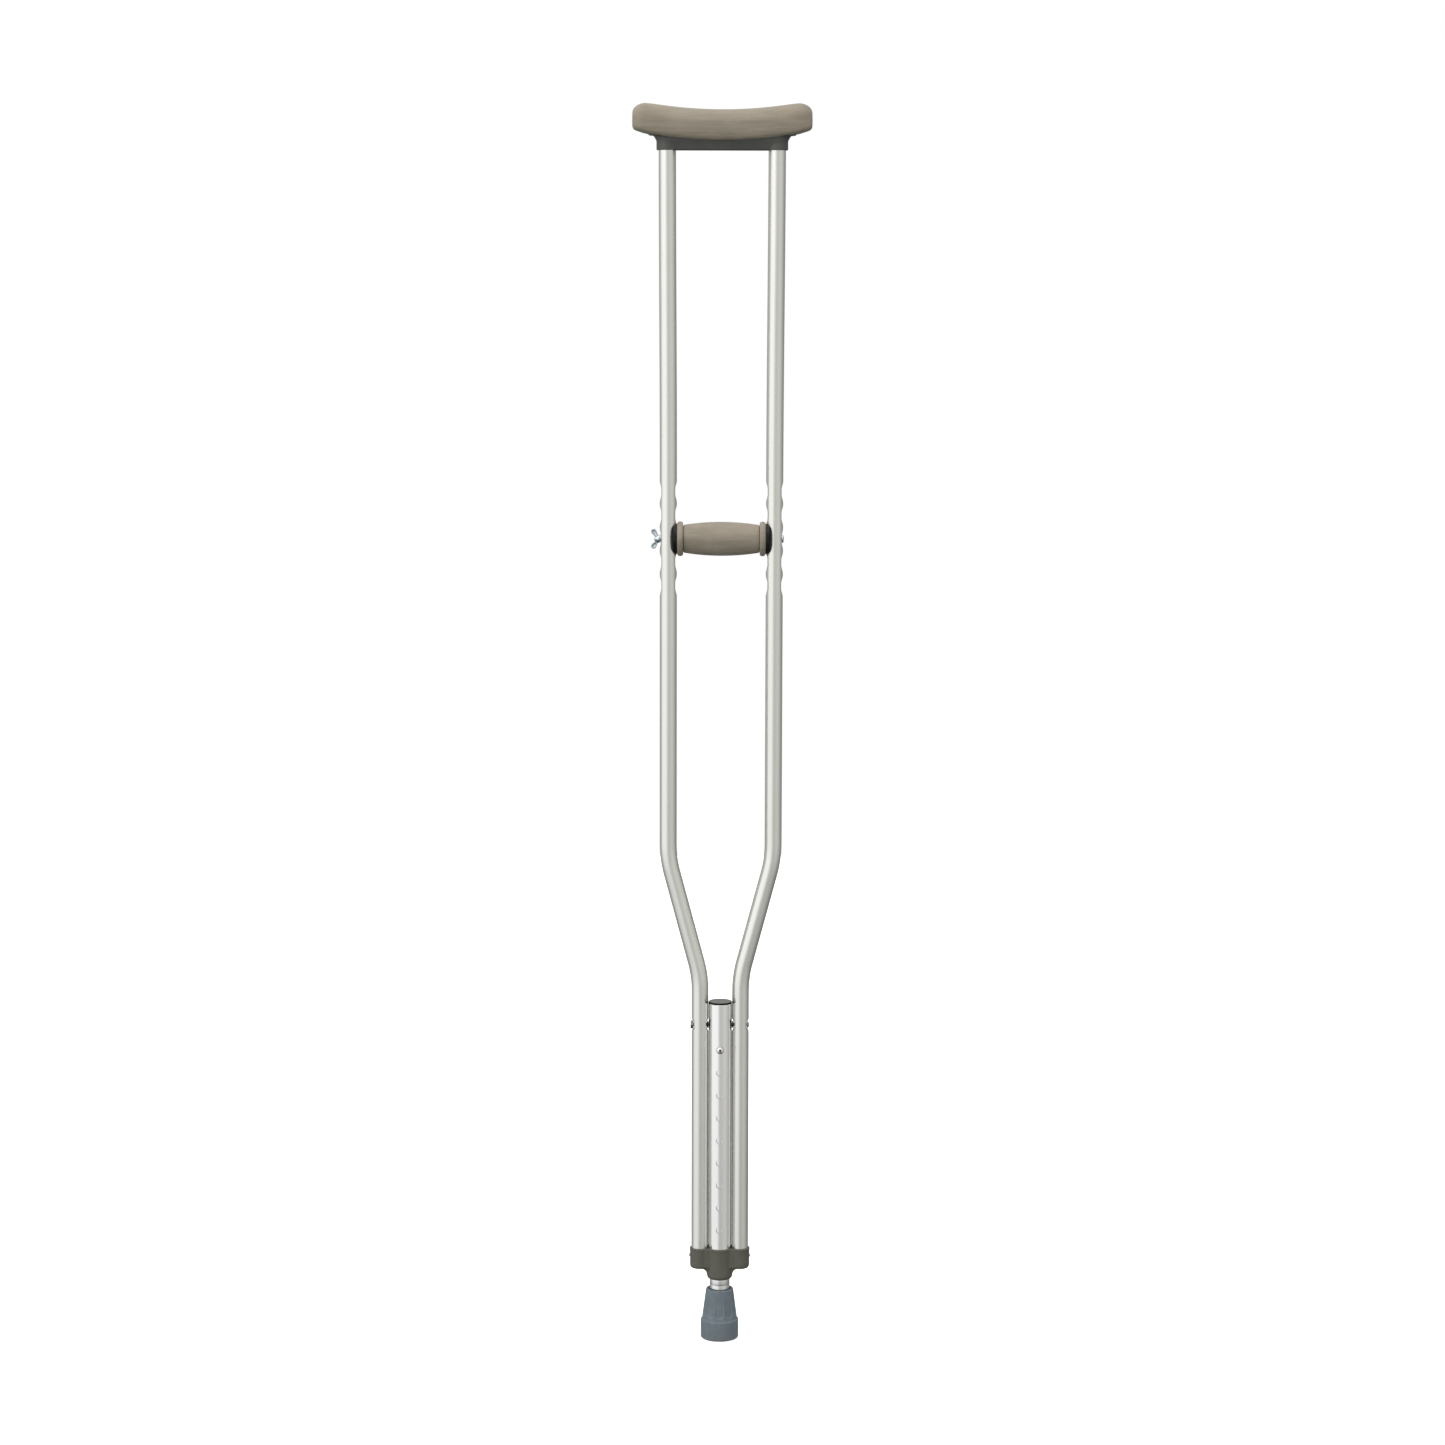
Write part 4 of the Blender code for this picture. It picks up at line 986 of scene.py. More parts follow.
@dataclass
class Fasteners:
    """The bolts, nuts, washer, spacers and rivets."""

    bolt_radius: float = 0.0024
    bolt_head: float = 0.0043
    head_thickness: float = 0.0020
    thread_pitch: float = 0.00106
    thread_depth: float = 0.00022
    thread_length: float = 0.022
    hub_radius: float = 0.0044
    hub_length: float = 0.0055
    ear_radius: float = 0.0028
    ear_reach: float = 0.0063
    ear_spread: float = 0.0077
    ear_half: float = 0.00100
    ear_stretch: float = 2.25
    ear_reach_out: float = 1.15
    washer_radius: float = 0.0042
    cross_radius: float = 0.0020
    cross_head: float = 0.0038
    cross_head_thickness: float = 0.0022
    nut_flats: float = 0.0080
    nut_thickness: float = 0.0032
    rivet_radius: float = 0.0014
    rivet_head: float = 0.0022
    rivet_thickness: float = 0.0009

    def cross_recess(self, seat: float, thickness: float, radius: float, z: float) -> list[Shape]:
        """Return the two slots of a cross recess in a head that points along +X."""
        arm, half = radius * 0.52, radius * 0.10
        floor, roof = seat + thickness * 0.45, seat + thickness + PIERCE
        return [block((floor, -arm, z - half), (roof, arm, z + half)),
                block((floor, -half, z - arm), (roof, half, z + arm))]

    def grip_bolt(self) -> bpy.types.Object:
        """Return the long bolt of the handgrip, with its thread."""
        low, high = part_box("grip_bolt")
        seat = high.x - self.head_thickness
        root = self.bolt_radius - self.thread_depth
        profile: Profile = [(0.0, low.x), (root - 0.0003, low.x), (root, low.x + 0.0003)]
        turns = int(self.thread_length / self.thread_pitch)
        for k in range(turns):
            start = low.x + 0.0006 + k * self.thread_pitch
            profile += [(root, start), (self.bolt_radius, start + self.thread_pitch * 0.42),
                        (self.bolt_radius, start + self.thread_pitch * 0.58)]
        shank = low.x + 0.0010 + turns * self.thread_pitch
        profile += [(root, shank), (self.bolt_radius, shank + 0.0004), (self.bolt_radius, seat)]
        profile += domed(seat, self.bolt_head, self.head_thickness)
        z = middle("grip_bolt").z
        piece = make("grip_bolt_threaded", turned(profile, Axis.X, (0.0, 0.0, z), 48))
        carve(piece, Carve.TAKE, *self.cross_recess(seat, self.head_thickness, self.bolt_head, z))
        return piece

    def ear(self, side: int, seat: float, z: float) -> Shape:
        """Return one ear of the wing nut, a rimmed and dished drop. side is +1 upwards."""
        rim, half = self.ear_radius, self.ear_half
        faces = [(0.0, -0.18), (0.46, -0.24), (0.60, -0.95), (0.80, -1.15), (1.0, -0.6)]
        profile = [(rim * r, half * y) for r, y in faces]
        profile += [(radius, -along) for radius, along in reversed(profile)]
        points, sides = turned(profile, Axis.Y, (0.0, 0.0, 0.0), 48)
        root = Vector((-self.hub_length * 0.22, side * self.hub_radius * 0.1))
        tip = Vector((-self.ear_reach, side * self.ear_spread))
        along = (tip - root).normalized()
        drawn = []
        for x, y, up in points:
            reach = x * along.x + up * along.y
            across = up * along.x - x * along.y
            narrow = 1.0 + 0.12 * reach / rim
            longer = reach * (self.ear_reach_out if reach > 0 else self.ear_stretch)
            drawn.append((seat + tip.x + longer * along.x - across * narrow * along.y, y,
                          z + tip.y + longer * along.y + across * narrow * along.x))
        return drawn, sides

    def arm(self, side: int, seat: float, z: float) -> Shape:
        """Return the web from the wing nut's hub to an ear."""
        rings = []
        for t in (0.0, 0.4, 0.8):
            x = seat - self.hub_length * 0.35 - (self.ear_reach - self.hub_length * 0.35) * t * 0.5
            up = z + side * (self.hub_radius * 0.2 + (self.ear_spread - self.hub_radius * 0.2) * t * 0.5)
            wide = self.hub_length * 0.44 * (1 - t) + self.ear_radius * 0.75 * t
            thick = self.ear_half * (1.5 - 0.8 * t)
            rings.append([(x + wide * cos(tau * k / 16) * 0.75, thick * sin(tau * k / 16),
                           up + side * wide * cos(tau * k / 16) * 0.62) for k in range(16)])
        return lofted(rings)

    def wing_nut(self) -> bpy.types.Object:
        """Return the wing nut, blended as a casting is."""
        seat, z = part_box("wing_nut")[1].x, middle("grip_bolt").z
        hub = [(0.0, 0.0), (self.hub_radius, 0.0), (self.hub_radius, -self.hub_length * 0.22),
               (self.hub_radius * 0.74, -self.hub_length * 0.92), (0.0, -self.hub_length * 0.92)]
        center = (seat, 0.0, z)
        piece = make("wing_nut_cast", turned(soften(hub, 0.0004, False), Axis.X, center, 48))
        for side in (1, -1):
            carve(piece, Carve.JOIN, self.arm(side, seat, z), self.ear(side, seat, z))
        mould(piece, 0.00020, 2)
        bore = self.bolt_radius + RUNNING_GAP
        carve(piece, Carve.TAKE, rod(Axis.X, center, bore, -self.hub_length * 3, PIERCE, 40))
        return piece

    def washer(self) -> bpy.types.Object:
        """Return the washer under the wing nut."""
        low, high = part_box("grip_washer")
        bore = self.bolt_radius + RUNNING_GAP
        profile = [(bore, low.x), (self.washer_radius, low.x), (self.washer_radius, high.x), (bore, high.x)]
        shape = turned(soften(profile, 0.0002, True, 3), Axis.X, (0.0, 0.0, middle("grip_bolt").z), 48)
        return make("grip_washer_flat", shape)

    def cross_bolt(self) -> bpy.types.Object:
        """Return the short bolt through the three tubes."""
        low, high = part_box("cross_bolt")
        seat, z = high.x - self.cross_head_thickness, middle("cross_bolt").z
        profile = [(0.0, low.x), (self.cross_radius - 0.0003, low.x), (self.cross_radius, low.x + 0.0003),
                   (self.cross_radius, seat)]
        profile += domed(seat, self.cross_head, self.cross_head_thickness)
        piece = make("cross_bolt_domed", turned(profile, Axis.X, (0.0, 0.0, z), 40))
        carve(piece, Carve.TAKE, *self.cross_recess(seat, self.cross_head_thickness, self.cross_head, z))
        return piece

    def cross_nut(self) -> bpy.types.Object:
        """Return the hexagon nut, its corners chamfered."""
        seat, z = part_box("cross_nut")[1].x, middle("cross_bolt").z
        corner = self.nut_flats / 2 / cos(pi / 6)
        thick = self.nut_thickness
        center = (seat, 0.0, z)
        prism = [(0.0, 0.0), (corner, 0.0), (corner, -thick), (0.0, -thick)]
        piece = make("cross_nut_hexagon", turned(prism, Axis.X, center, 6))
        cone = [(0.0, PIERCE), (corner * 0.9, PIERCE), (corner * 1.02, -thick * 0.12),
                (corner * 1.02, -thick * 0.80), (corner * 0.86, -thick), (0.0, -thick)]
        carve(piece, Carve.KEEP, turned(cone, Axis.X, center, 60))
        carve(piece, Carve.TAKE, rod(Axis.X, center, self.cross_radius + GAP, -thick - PIERCE, PIERCE))
        return piece

    def spacer(self, word: str) -> bpy.types.Object:
        """Return a spacer between the centre tube and a side tube."""
        low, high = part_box(f"cross_spacer_{word}")
        bore = self.cross_radius + GAP
        profile = [(bore, low.x), (self.cross_head, low.x), (self.cross_head, high.x), (bore, high.x)]
        shape = turned(soften(profile, 0.0002, True, 3), Axis.X, (0.0, 0.0, middle("cross_bolt").z), 40)
        return make(f"cross_spacer_{word}_sleeve", shape)

    def rivet(self, node: str, axis: Axis) -> bpy.types.Object:
        """Return a blind rivet, with the dimple that its mandrel leaves.

        Args:
            node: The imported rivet.
            axis: The rivet's axis.

        Returns:
            The rivet.
        """
        low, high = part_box(node)
        center = middle(node)
        ends = (low.x, high.x) if axis is Axis.X else (low.y, high.y)
        crown = max(ends, key=abs)
        tail = min(ends, key=abs)
        out = 1 if crown > 0 else -1
        length = abs(crown - tail)
        seat = length - self.rivet_thickness
        profile = [(0.0, 0.0), (0.0012, 0.0), (0.0020, 0.0009), (0.0020, 0.0021), (self.rivet_radius, 0.0024),
                   (self.rivet_radius, seat)]
        head = [(r, a) for r, a in domed(seat, self.rivet_head, self.rivet_thickness)[:-2] if r > 0.0009]
        profile += head + [(0.0007, length - 0.00008), (0.0006, length - 0.0005), (0.0, length - 0.0005)]
        mirrored = [(radius, out * along) for radius, along in profile]
        start = (tail, center.y, center.z) if axis is Axis.X else (center.x, tail, center.z)
        return make(f"{node}_headed", turned(mirrored, axis, start, 36))

    def build(self) -> None:
        """Build and dress the fasteners."""
        fit(self.grip_bolt(), Body.BOLT, ZINC, "zinc_steel", "grip_bolt")
        fit(self.wing_nut(), Body.NUT, ZINC, "zinc_steel", "wing_nut")
        fit(self.washer(), Body.WASHER, ZINC, "zinc_steel", "grip_washer")
        fit(self.cross_bolt(), Body.FRAME, DULL_ZINC, "zinc_steel", "cross_bolt")
        fit(self.cross_nut(), Body.FRAME, DULL_ZINC, "zinc_steel", "cross_nut")
        for word in ("left", "right"):
            fit(self.spacer(word), Body.FRAME, CORE_BLACK, "core_plastic", f"cross_spacer_{word}")
            for node, axis in ((f"collar_rivet_{word}", Axis.X), (f"saddle_rivet_{word}", Axis.Y)):
                fit(self.rivet(node, axis), Body.FRAME, RIVET, "rivet_aluminium", node)


# Handgrip ---------------------------------------------------------------------------------------


@dataclass
class Handgrip:
    """The handgrip's core and its foam sleeve."""

    core_radius: float = 0.0105
    flange_radius: float = 0.0163
    flange_root: float = 0.0462
    horn_end: float = 0.0517
    bore: float = 0.0028
    sleeve_half: float = 0.0477
    bead_radius: float = 0.0187
    bead_length: float = 0.0066
    neck_radius: float = 0.0150
    barrel_radius: float = 0.0183
    groove_depth: float = 0.0018
    rib_depth: float = 0.00009
    rib_pitch: float = 0.0011
    rib_count: int = 6
    barrel_steps: int = 150

    def core(self) -> bpy.types.Object:
        """Return the core, with ends that saddle the side tubes."""
        root, end = self.flange_root, self.horn_end
        profile = [
            (self.bore, -end), (self.flange_radius, -end), (self.flange_radius, -root),
            (self.core_radius, -root), (self.core_radius, root), (self.flange_radius, root),
            (self.flange_radius, end), (self.bore, end),
        ]
        z = middle("grip_core").z
        shape = turned(soften(profile, 0.0003, True, 3), Axis.X, (0.0, 0.0, z), 96)
        piece = make("grip_core_saddled", shape)
        reach = self.flange_radius + PIERCE
        for side in (1, -1):
            center = (side * GRIP_SPAN, 0.0, z)
            carve(piece, Carve.TAKE, rod(Axis.Z, center, TUBE_RADIUS + GAP, -reach, reach, 96))
        return piece

    def barrel(self, along: float, neck: float) -> float:
        """Return the barrel's radius at a place along it, with fine moulded lines near its ends."""
        radius = self.neck_radius + (self.barrel_radius - self.neck_radius) * (1 - (along / neck) ** 2)
        inside = neck - abs(along)
        if inside < self.rib_pitch * self.rib_count:
            radius -= self.rib_depth * (0.5 - 0.5 * cos(tau * inside / self.rib_pitch))
        return radius

    def sleeve(self) -> bpy.types.Object:
        """Return the foam sleeve: a barrel between two round beads."""
        end = self.sleeve_half
        neck = end - self.bead_length
        half: Profile = [(self.neck_radius - self.groove_depth, neck + 0.0002)]
        rise = self.bead_radius - self.neck_radius
        for k in range(0, 13):
            angle = pi * k / 12
            spread = 1.0 if 0.15 < k / 12 < 0.85 else 0.96
            half.append((self.neck_radius + rise * sin(angle) ** 0.62,
                         neck + self.bead_length * (0.5 - 0.5 * cos(angle) * spread)))
        mouth = self.flange_root - GAP
        half += [(self.flange_radius + GAP + 0.0001, end), (self.flange_radius + GAP, end - 0.0002)]
        half += [(self.flange_radius + GAP, mouth), (self.core_radius + GAP, mouth)]
        places = [neck * (2 * k / self.barrel_steps - 1) for k in range(1, self.barrel_steps)]
        barrel = [(self.barrel(along, neck), along) for along in places]
        left = [(radius, -along) for radius, along in reversed(half)]
        z = middle("grip_sleeve").z
        return make("grip_sleeve_foam", turned(left + barrel + half, Axis.X, (0.0, 0.0, z), 96))

    def build(self) -> None:
        """Build and dress the core and the sleeve."""
        fit(self.core(), Body.FRAME, CORE_BLACK, "core_plastic", "grip_core")
        foam = MouldedFoam("sleeve_foam", middle=middle("grip_sleeve").z, half_height=self.barrel_radius)
        sleeve = fit(self.sleeve(), Body.FRAME, foam, "sleeve_foam", "grip_sleeve")


# Saddle and cushion -----------------------------------------------------------------------------


@dataclass
class Underarm:
    """The moulded saddle on the side tubes and the foam cushion that it carries."""

    plate_half: float = 0.0785
    plate_width: float = 0.0300
    plate_thick: float = 0.0035
    plate_sag: float = 0.002187
    plate_corner: float = 0.010
    plate_bottom: float = 1.3165
    block_bottom: float = 1.3030
    block_half: float = 0.0701
    flare: float = 0.0040
    socket_wall: float = 0.0021
    socket_top: float = 1.3182
    web_low: float = 0.0086
    web_high: float = 0.0120
    rib: float = 0.0018
    pockets: int = 4
    roof: float = 0.0030
    cushion_half: float = 0.0963
    cushion_width: float = 0.0420
    cushion_top: float = 1.3455
    cushion_thick: float = 0.0326
    sag_radius: float = 0.465
    top_round: float = 0.0110
    bottom_round: float = 0.0045
    end_round: float = 0.0145
    end_slope: float = 0.30
    swell: float = 0.0008
    voxel: float = 0.0020

    def plate(self, grow: float) -> Shape:
        """Return the saddle's curved top plate, grown all round."""
        curve = self.plate_half ** 2 / (2 * self.plate_sag)
        half, corner = self.plate_half + grow, self.plate_corner
        width = self.plate_width / 2 + grow
        flat = half - corner
        stations = [flat * k / 10 for k in range(11)]
        stations += [flat + corner * sin(radians(a)) for a in (15, 30, 45, 60, 72, 82, 90)]
        stations = [-x for x in reversed(stations[1:])] + stations
        sections = []
        for x in stations:
            past = max(0.0, abs(x) - flat)
            w = width - corner + sqrt(max(0.0, corner ** 2 - past ** 2))
            low = self.plate_bottom + x * x / (2 * curve) - grow
            high = low + self.plate_thick + 2 * grow
            sections.append([(x, -w, low), (x, w, low), (x, w, high), (x, -w, high)])
        return lofted(sections)

    @staticmethod
    def stadium(half: float, width: float, z: float, steps: int = 16) -> list[Triple]:
        """Return a level ring with straight sides and round ends."""
        ring = []
        for end in (1, -1):
            for k in range(steps + 1):
                angle = -pi / 2 + pi * k / steps
                ring.append((end * (half - width + width * cos(angle)), end * width * sin(angle), z))
        return ring

    def saddle(self) -> bpy.types.Object:
        """Return the saddle: a curved plate on a web between two sockets."""
        low, start = self.block_bottom, self.plate_bottom - self.flare
        top = self.plate_bottom + self.plate_thick * 0.7
        piece = make("underarm_saddle_moulded", self.plate(0.0))
        web = [
            self.stadium(self.block_half - 0.0024, self.web_low, low),
            self.stadium(self.block_half - 0.0006, (self.web_low + self.web_high) / 2, (low + start) / 2),
            self.stadium(self.block_half, self.web_high, start),
            self.stadium(self.block_half + self.flare * 0.35, self.web_high, start + self.flare * 0.7),
            self.stadium(self.block_half + self.flare, self.web_high, top),
        ]
        carve(piece, Carve.JOIN, lofted(web))
        outer = TUBE_RADIUS + GAP + self.socket_wall
        for side in (1, -1):
            center = (side * TOP_SPAN, 0.0, 0.0)
            carve(piece, Carve.JOIN, rod(Axis.Z, center, outer, low, self.plate_bottom + 0.001, 64))
        mould(piece, 0.0007, 3)
        bore = TUBE_RADIUS + GAP
        room = TOP_SPAN - bore - self.socket_wall
        pitch = 2 * room / self.pockets
        deep = self.web_low - self.socket_wall
        roof = self.plate_bottom + self.plate_thick - self.roof
        pockets = [block((-room + pitch * k + self.rib / 2, -deep, low - PIERCE),
                         (-room + pitch * (k + 1) - self.rib / 2, deep, roof)) for k in range(self.pockets)]
        sockets = pair(Axis.Z, TOP_SPAN, 0.0, bore, low - PIERCE, self.socket_top, 64)
        rivets = pair(Axis.Y, TOP_SPAN, middle("saddle_rivet_right").z, RIVET_HOLE, 0.0, 0.02)
        carve(piece, Carve.TAKE, sockets, together(pockets), rivets)
        return piece

    def section(self, x: float, shrink: float) -> list[Triple]:
        """Return the cushion's rounded cross-section at a place along it.

        Args:
            x: The place.
            shrink: How far the section stays inside the finished skin.

        Returns:
            A ring of points.
        """
        flat = self.cushion_half - self.end_round
        past = max(0.0, abs(x) - flat)
        drop = 1 - sqrt(max(0.0, 1 - (past / self.end_round) ** 2))
        reach = min(abs(x), flat)
        rise = reach ** 2 / (2 * self.sag_radius)
        high = self.cushion_top + rise - drop * self.top_round - shrink
        low = self.cushion_top - self.cushion_thick + rise + past * self.end_slope + shrink
        width = self.cushion_width / 2 - drop * self.end_round * 0.9 - shrink
        top = min(self.top_round, width * 0.98, (high - low) * 0.6)
        bottom = min(self.bottom_round, width * 0.9, (high - low) * 0.35)
        corners = [(width - bottom, low + bottom, bottom, -90), (width - top, high - top, top, 0),
                   (top - width, high - top, top, 90), (bottom - width, low + bottom, bottom, 180)]
        ring = []
        for cy, cz, radius, start in corners:
            for k in range(9):
                angle = radians(start + 90 * k / 8)
                ring.append((x, cy + radius * cos(angle), cz + radius * sin(angle)))
        return ring

    def cushion(self) -> bpy.types.Object:
        """Return the cushion: a moulded skin, blown up a little as cloth, with the plate's slot."""
        shrink = self.swell * 0.75
        flat = self.cushion_half - self.end_round
        stations = [flat * k / 24 for k in range(25)]
        stations += [flat + (self.end_round - shrink) * sin(radians(a)) for a in range(8, 91, 8)]
        stations.append(self.cushion_half - shrink)
        stations = [-x for x in reversed(stations[1:])] + stations
        piece = make("underarm_cushion_foam", lofted([self.section(x, shrink) for x in stations]))
        mould(piece, self.voxel, 2)
        swell(piece, 3.0, self.swell)
        division = piece.modifiers.new("fine", "SUBSURF")
        division.levels = division.render_levels = 1
        settle(piece)
        mouth = self.block_half + self.flare + 0.0012
        deep = self.web_high + 0.0008
        low = self.cushion_top - self.cushion_thick
        roof = self.plate_bottom + self.plate_thick / 2
        opening = block((-mouth, -deep, low - PIERCE * 2), (mouth, deep, roof))
        carve(piece, Carve.TAKE, self.plate(GAP), opening)
        return piece

    def build(self) -> None:
        """Build and dress the saddle and the cushion."""
        fit(self.saddle(), Body.FRAME, SADDLE_GRAY, "saddle_plastic", "underarm_saddle")
        foam = MouldedFoam("cushion_foam", middle=self.cushion_top - self.cushion_thick / 2)
        cushion = fit(self.cushion(), Body.FRAME, foam, "cushion_foam", "underarm_cushion")


# Collar and tip ---------------------------------------------------------------------------------


@dataclass
class Collar:
    """The moulded collar that holds the lower ends of the three tubes."""

    center_radius: float = 0.0127
    wall: float = 0.0012
    neck: float = 0.0122
    floor: float = 0.0026
    lip: float = 0.0006
    lip_height: float = 0.0060
    fillet: float = 0.0062
    slot_half: float = 0.0032
    web_half: float = 0.0096

    def lobe(self, radius: float, foot: float, top: float, soft: float) -> Profile:
        """Return a lobe's profile: a rounded foot, and a lip at the top."""
        lip = top - self.lip_height
        profile = [(0.0, foot), (radius - soft, foot), (radius - soft * 0.3, foot + soft * 0.3),
                   (radius, foot + soft), (radius, lip),
                   (radius + self.lip * 0.3, lip + self.lip_height * 0.55),
                   (radius + self.lip, top - 0.0004), (radius + self.lip * 0.4, top), (0.0, top)]
        return soften(profile, 0.0008, False)

    def gusset(self, side: int, foot: float) -> Shape:
        """Return the fillet between the neck and a side lobe."""
        neck = self.center_radius + GAP + self.wall
        corner, low = neck + self.fillet, foot - self.fillet
        outline = [(neck - self.wall, low - 0.002), (neck - self.wall, foot + self.wall),
                   (corner, foot + self.wall)]
        outline += [(corner + self.fillet * cos(radians(a)), low + self.fillet * sin(radians(a)))
                    for a in range(90, 181, 10)]
        half = neck * 0.5
        return lofted([[(side * x, y, z) for x, z in outline] for y in (-half, half)])

    def build(self) -> None:
        """Build and dress the collar."""
        bottom, top = (corner.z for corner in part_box("bottom_collar"))
        foot = bottom + self.neck
        outer = self.center_radius + GAP + self.wall
        lobe = self.lobe(outer, bottom, top, 0.0036)
        piece = make("bottom_collar_moulded", turned(lobe, Axis.Z, ORIGIN, 96))
        radius = TUBE_RADIUS + GAP + self.wall
        for side in (1, -1):
            center = (side * LOW_SPAN, 0.0, 0.0)
            carve(piece, Carve.JOIN, turned(self.lobe(radius, foot, top, 0.0030), Axis.Z, center, 80),
                  self.gusset(side, foot))
        reach = LOW_SPAN * 0.9
        carve(piece, Carve.JOIN, block((-reach, -self.web_half, foot + 0.0016), (reach, self.web_half, top)))
        mould(piece, 0.00055, 6)
        above = top + PIERCE
        across = LOW_SPAN - TUBE_RADIUS * 0.3
        bore = TUBE_RADIUS + GAP
        slot = block((-across, -self.slot_half, foot + self.floor), (across, self.slot_half, above))
        sides = pair(Axis.Z, LOW_SPAN, 0.0, bore, foot + self.floor, above, 64)
        z = middle("collar_rivet_right").z
        rivets = [rod(Axis.X, (0.0, 0.0, z), RIVET_HOLE, side * LOW_SPAN, side * (LOW_SPAN + 0.014))
                  for side in (1, -1)]
        seat = rod(Axis.Z, ORIGIN, self.center_radius + GAP, bottom + self.floor, above, 96)
        through = rod(Axis.Z, ORIGIN, LEG_RADIUS + RUNNING_GAP, bottom - PIERCE, above, 96)
        carve(piece, Carve.TAKE, slot, sides, together(rivets), seat, through)
        fit(piece, Body.FRAME, COLLAR_OLIVE, "collar_plastic", "bottom_collar")


@dataclass
class Tip:
    """The rubber tip: a fluted cone on a plain band, with a grooved sole."""

    top_radius: float = 0.0152
    cone_radius: float = 0.0193
    band_radius: float = 0.0209
    band_height: float = 0.0220
    floor: float = 0.0075
    bore: float = 0.0114
    mouth: float = 0.0014
    flutes: int = 10
    flute_depth: float = 0.0013
    arch: float = 0.0042
    tread_depth: float = 0.0012
    tread_rings: tuple[float, ...] = (0.0080, 0.0140)
    tread_half: float = 0.0010
    height: float = field(init=False)

    def __post_init__(self) -> None:
        """Read the tip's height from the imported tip."""
        self.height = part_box("rubber_tip")[1].z

    def flute(self, angle: float, along: float) -> float:
        """Return what the flutes add to the cone's radius, their lower ends arched."""
        if not self.band_height < along < self.height - 0.0005:
            return 0.0
        turn = (angle + pi / 2) * self.flutes / tau
        off = abs(turn - round(turn)) * 2
        hollow = smooth_step((0.94 - off) / 0.30)
        foot = self.band_height + 0.0022 + self.arch * (off * off)
        low = smooth_step((along - foot) / 0.0024)
        high = smooth_step((self.height - along) / (self.height - self.band_height) * 1.15)
        return -self.flute_depth * hollow * low * (0.12 + 0.88 * high)

    def build(self) -> None:
        """Build and dress the tip."""
        soft = 0.0012
        low, high = self.band_height + soft, self.height - soft
        rim = self.band_radius
        painted_top_light = [(rim - 0.004, 0.0), (rim - soft, 0.0), (rim, soft), (rim, self.band_height - soft),
                (rim - soft, self.band_height), (self.cone_radius, low)]
        steps = 44
        cone = [(self.cone_radius + (self.top_radius - self.cone_radius) * k / steps,
                 low + (high - low) * k / steps) for k in range(1, steps + 1)]
        top = [(self.top_radius - soft * 0.3, self.height - soft * 0.35),
               (self.top_radius - soft, self.height), (self.bore + self.mouth, self.height),
               (self.bore + self.mouth * 0.6, self.height - self.mouth),
               (self.bore, self.height - self.mouth * 2.4), (self.bore, self.floor), (0.0, self.floor)]
        sole: Profile = [(0.0, 0.0)]
        for ring in self.tread_rings:
            sole += [(ring - self.tread_half, 0.0), (ring - self.tread_half * 0.8, self.tread_depth),
                     (ring + self.tread_half * 0.8, self.tread_depth), (ring + self.tread_half, 0.0)]
        profile = sole + soften(painted_top_light, 0.0007, False) + cone + top
        shape = turned(profile, Axis.Z, ORIGIN, 180, self.flute)
        fit(make("rubber_tip_fluted", shape), Body.LEG, TIP_RUBBER, "tip_rubber", "rubber_tip")


# Studio -----------------------------------------------------------------------------------------


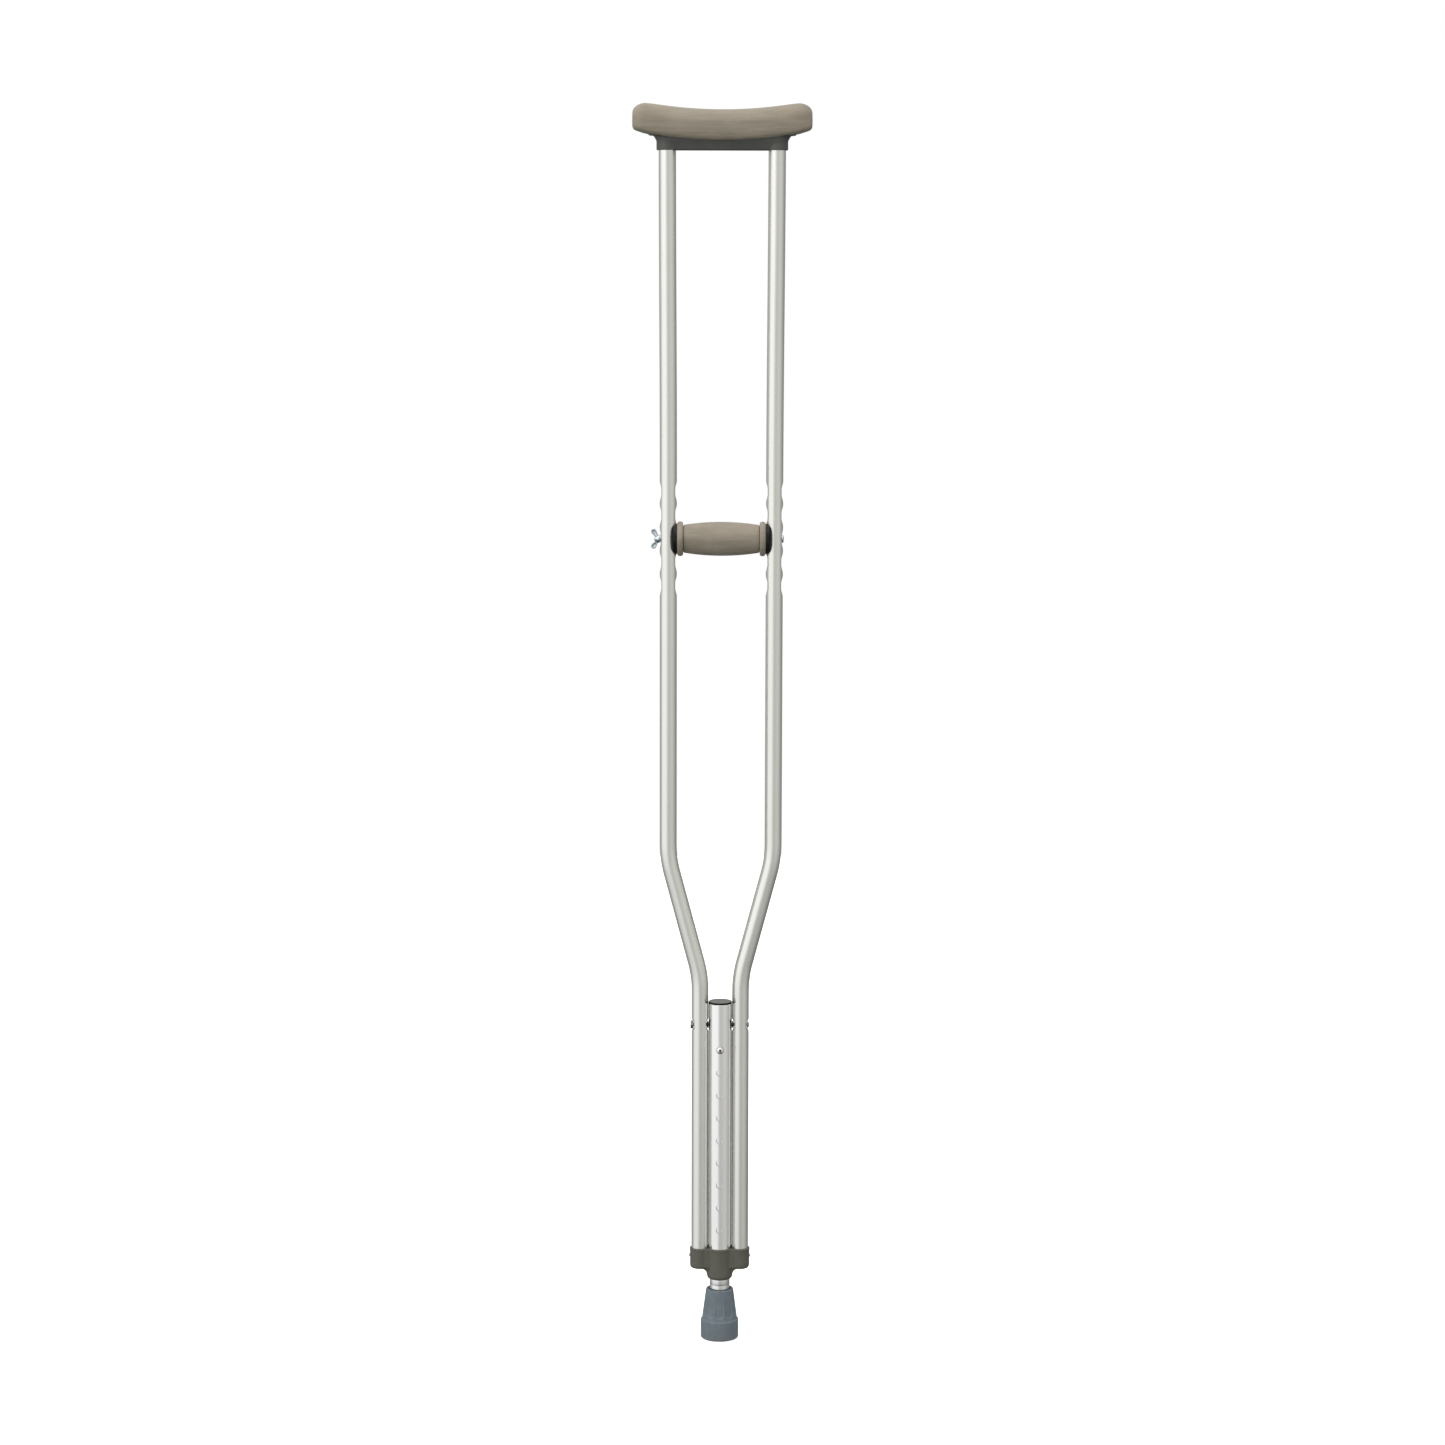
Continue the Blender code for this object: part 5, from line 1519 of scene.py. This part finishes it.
@dataclass
class Studio:
    """A pale floor, soft light from the left and above, and the camera."""

    floor_half: float = 3.2
    camera_place: Triple = (0.0017, -3.576, 1.150)
    camera_pitch: float = radians(-7.34)
    camera_roll: float = radians(0.143)
    focal_share: float = 3316.0 / 1445.0
    sensor: float = 36.0
    sky: tuple[tuple[float, Triple], ...] = (
        (0.000, (0.28, 0.28, 0.272)),
        (0.100, (0.42, 0.42, 0.412)),
        (0.170, (0.52, 0.52, 0.512)),
        (0.212, (0.58, 0.58, 0.572)),
        (0.245, (0.94, 0.94, 0.930)),
        (0.270, (1.20, 1.20, 1.200)),
        (0.425, (1.20, 1.20, 1.195)),
        (0.452, (1.02, 1.02, 1.010)),
        (0.482, (0.72, 0.72, 0.708)),
        (0.512, (0.66, 0.66, 0.640)),
        (0.570, (0.69, 0.69, 0.670)),
        (0.620, (0.77, 0.77, 0.745)),
        (0.680, (0.72, 0.72, 0.695)),
        (0.740, (0.56, 0.56, 0.540)),
        (0.790, (0.38, 0.38, 0.367)),
        (0.860, (0.32, 0.32, 0.310)),
        (0.930, (0.25, 0.25, 0.243)),
        (1.000, (0.28, 0.28, 0.272)),
    )
    overhead: Triple = (1.25, 1.25, 1.25)

    def light_sky(self) -> None:
        """Give the world its light: a bright wall on the left, gray on the right, white in view."""
        world = bpy.data.worlds.new("studio")
        world.use_nodes = True
        bpy.context.scene.world = world
        dye = Dye(world.node_tree)
        x, y, z = (dye.coordinate(axis, "Generated") for axis in Axis)
        turn = dye.node("ShaderNodeMath", {"operation": "ARCTAN2"}, {0: x, 1: y * -1.0})
        walls = dye.node("ShaderNodeValToRGB", {"stops": self.sky}, {0: turn / tau + 0.5})
        lower = z.step(-0.42, -0.06) * 0.34 + 0.66
        dimmed = dye.mix(lower * (z.step(-0.75, -0.38) * 0.75 + 0.25), (0.0, 0.0, 0.0), walls)
        room = dye.mix(z.step(0.35, 0.85), dimmed, self.overhead)
        seen = dye.node("ShaderNodeLightPath", out="Is Camera Ray")
        color = dye.mix(seen, room, (1.0, 1.0, 1.0))
        shader = dye.node("ShaderNodeBackground", None, {0: color, 1: 1.0})
        dye.node("ShaderNodeOutputWorld", None, {"Surface": shader})

    def lay_floor(self) -> None:
        """Lay the pale floor."""
        half = self.floor_half
        corners = [(half * cos(tau * k / 96), half * sin(tau * k / 96), -0.0002) for k in range(96)]
        floor = make("studio_floor", (corners, [tuple(range(96))]))
        floor.data.materials.append(FLOOR_PAINT.material())
        floor.visible_glossy = floor.visible_diffuse = False

    def hang_light(self, name: str, place: Triple, aim: Triple, size: float, power: float) -> None:
        """Hang a square soft light.

        Args:
            name: The light's name.
            place: Where it hangs.
            aim: The point that it faces.
            size: The length of its side.
            power: Its power in watts.
        """
        data = bpy.data.lights.new(name, "AREA")
        data.size = size
        data.energy = power
        light = bpy.data.objects.new(name, data)
        light.location = place
        light.rotation_euler = (Vector(aim) - Vector(place)).to_track_quat("-Z", "Y").to_euler()
        light.visible_camera = False
        bpy.context.scene.collection.objects.link(light)

    def place_camera(self) -> None:
        """Place the camera at eye height in front, looking slightly down."""
        data = bpy.data.cameras.new("camera")
        data.sensor_width = self.sensor
        data.lens = self.focal_share * self.sensor
        camera = bpy.data.objects.new("camera", data)
        turn = Matrix.Rotation(pi / 2 + self.camera_pitch, 4, "X") @ Matrix.Rotation(self.camera_roll, 4, "Z")
        camera.matrix_world = Matrix.Translation(self.camera_place) @ turn
        bpy.context.scene.collection.objects.link(camera)
        bpy.context.scene.camera = camera

    def build(self) -> None:
        """Set up the whole studio."""
        bpy.context.scene.view_settings.view_transform = "Standard"
        self.light_sky()
        self.lay_floor()
        self.hang_light("key_light", (-2.2, -2.2, 2.6), (0.0, 0.0, 0.7), 1.6, 10.0)
        self.hang_light("top_light", (0.0, -0.6, 3.4), (0.0, 0.0, 0.6), 2.2, 14.0)
        self.place_camera()


def dress_hidden(frame: dict) -> None:
    """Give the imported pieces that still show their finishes.
    """
    for name in ("snap_button_spring", "tip_washer"):
        piece = frame["nodes"][name]
        piece.data.materials.clear()
        piece.data.materials.append(STEEL.material())
        LOG.info("%s is shown as packed", name)


def main() -> None:
    """Build the crutch and its studio."""
    logging.basicConfig(level=logging.INFO, format="%(name)s: %(message)s")
    for thing in list(bpy.data.objects):
        bpy.data.objects.remove(thing, do_unlink=True)
    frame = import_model()
    Studio().build()
    SideTubes().build()
    Leg().build()
    Fasteners().build()
    Handgrip().build()
    Underarm().build()
    Collar().build()
    Tip().build()
    dress_hidden(frame)


if __name__ == "__main__":
    main()
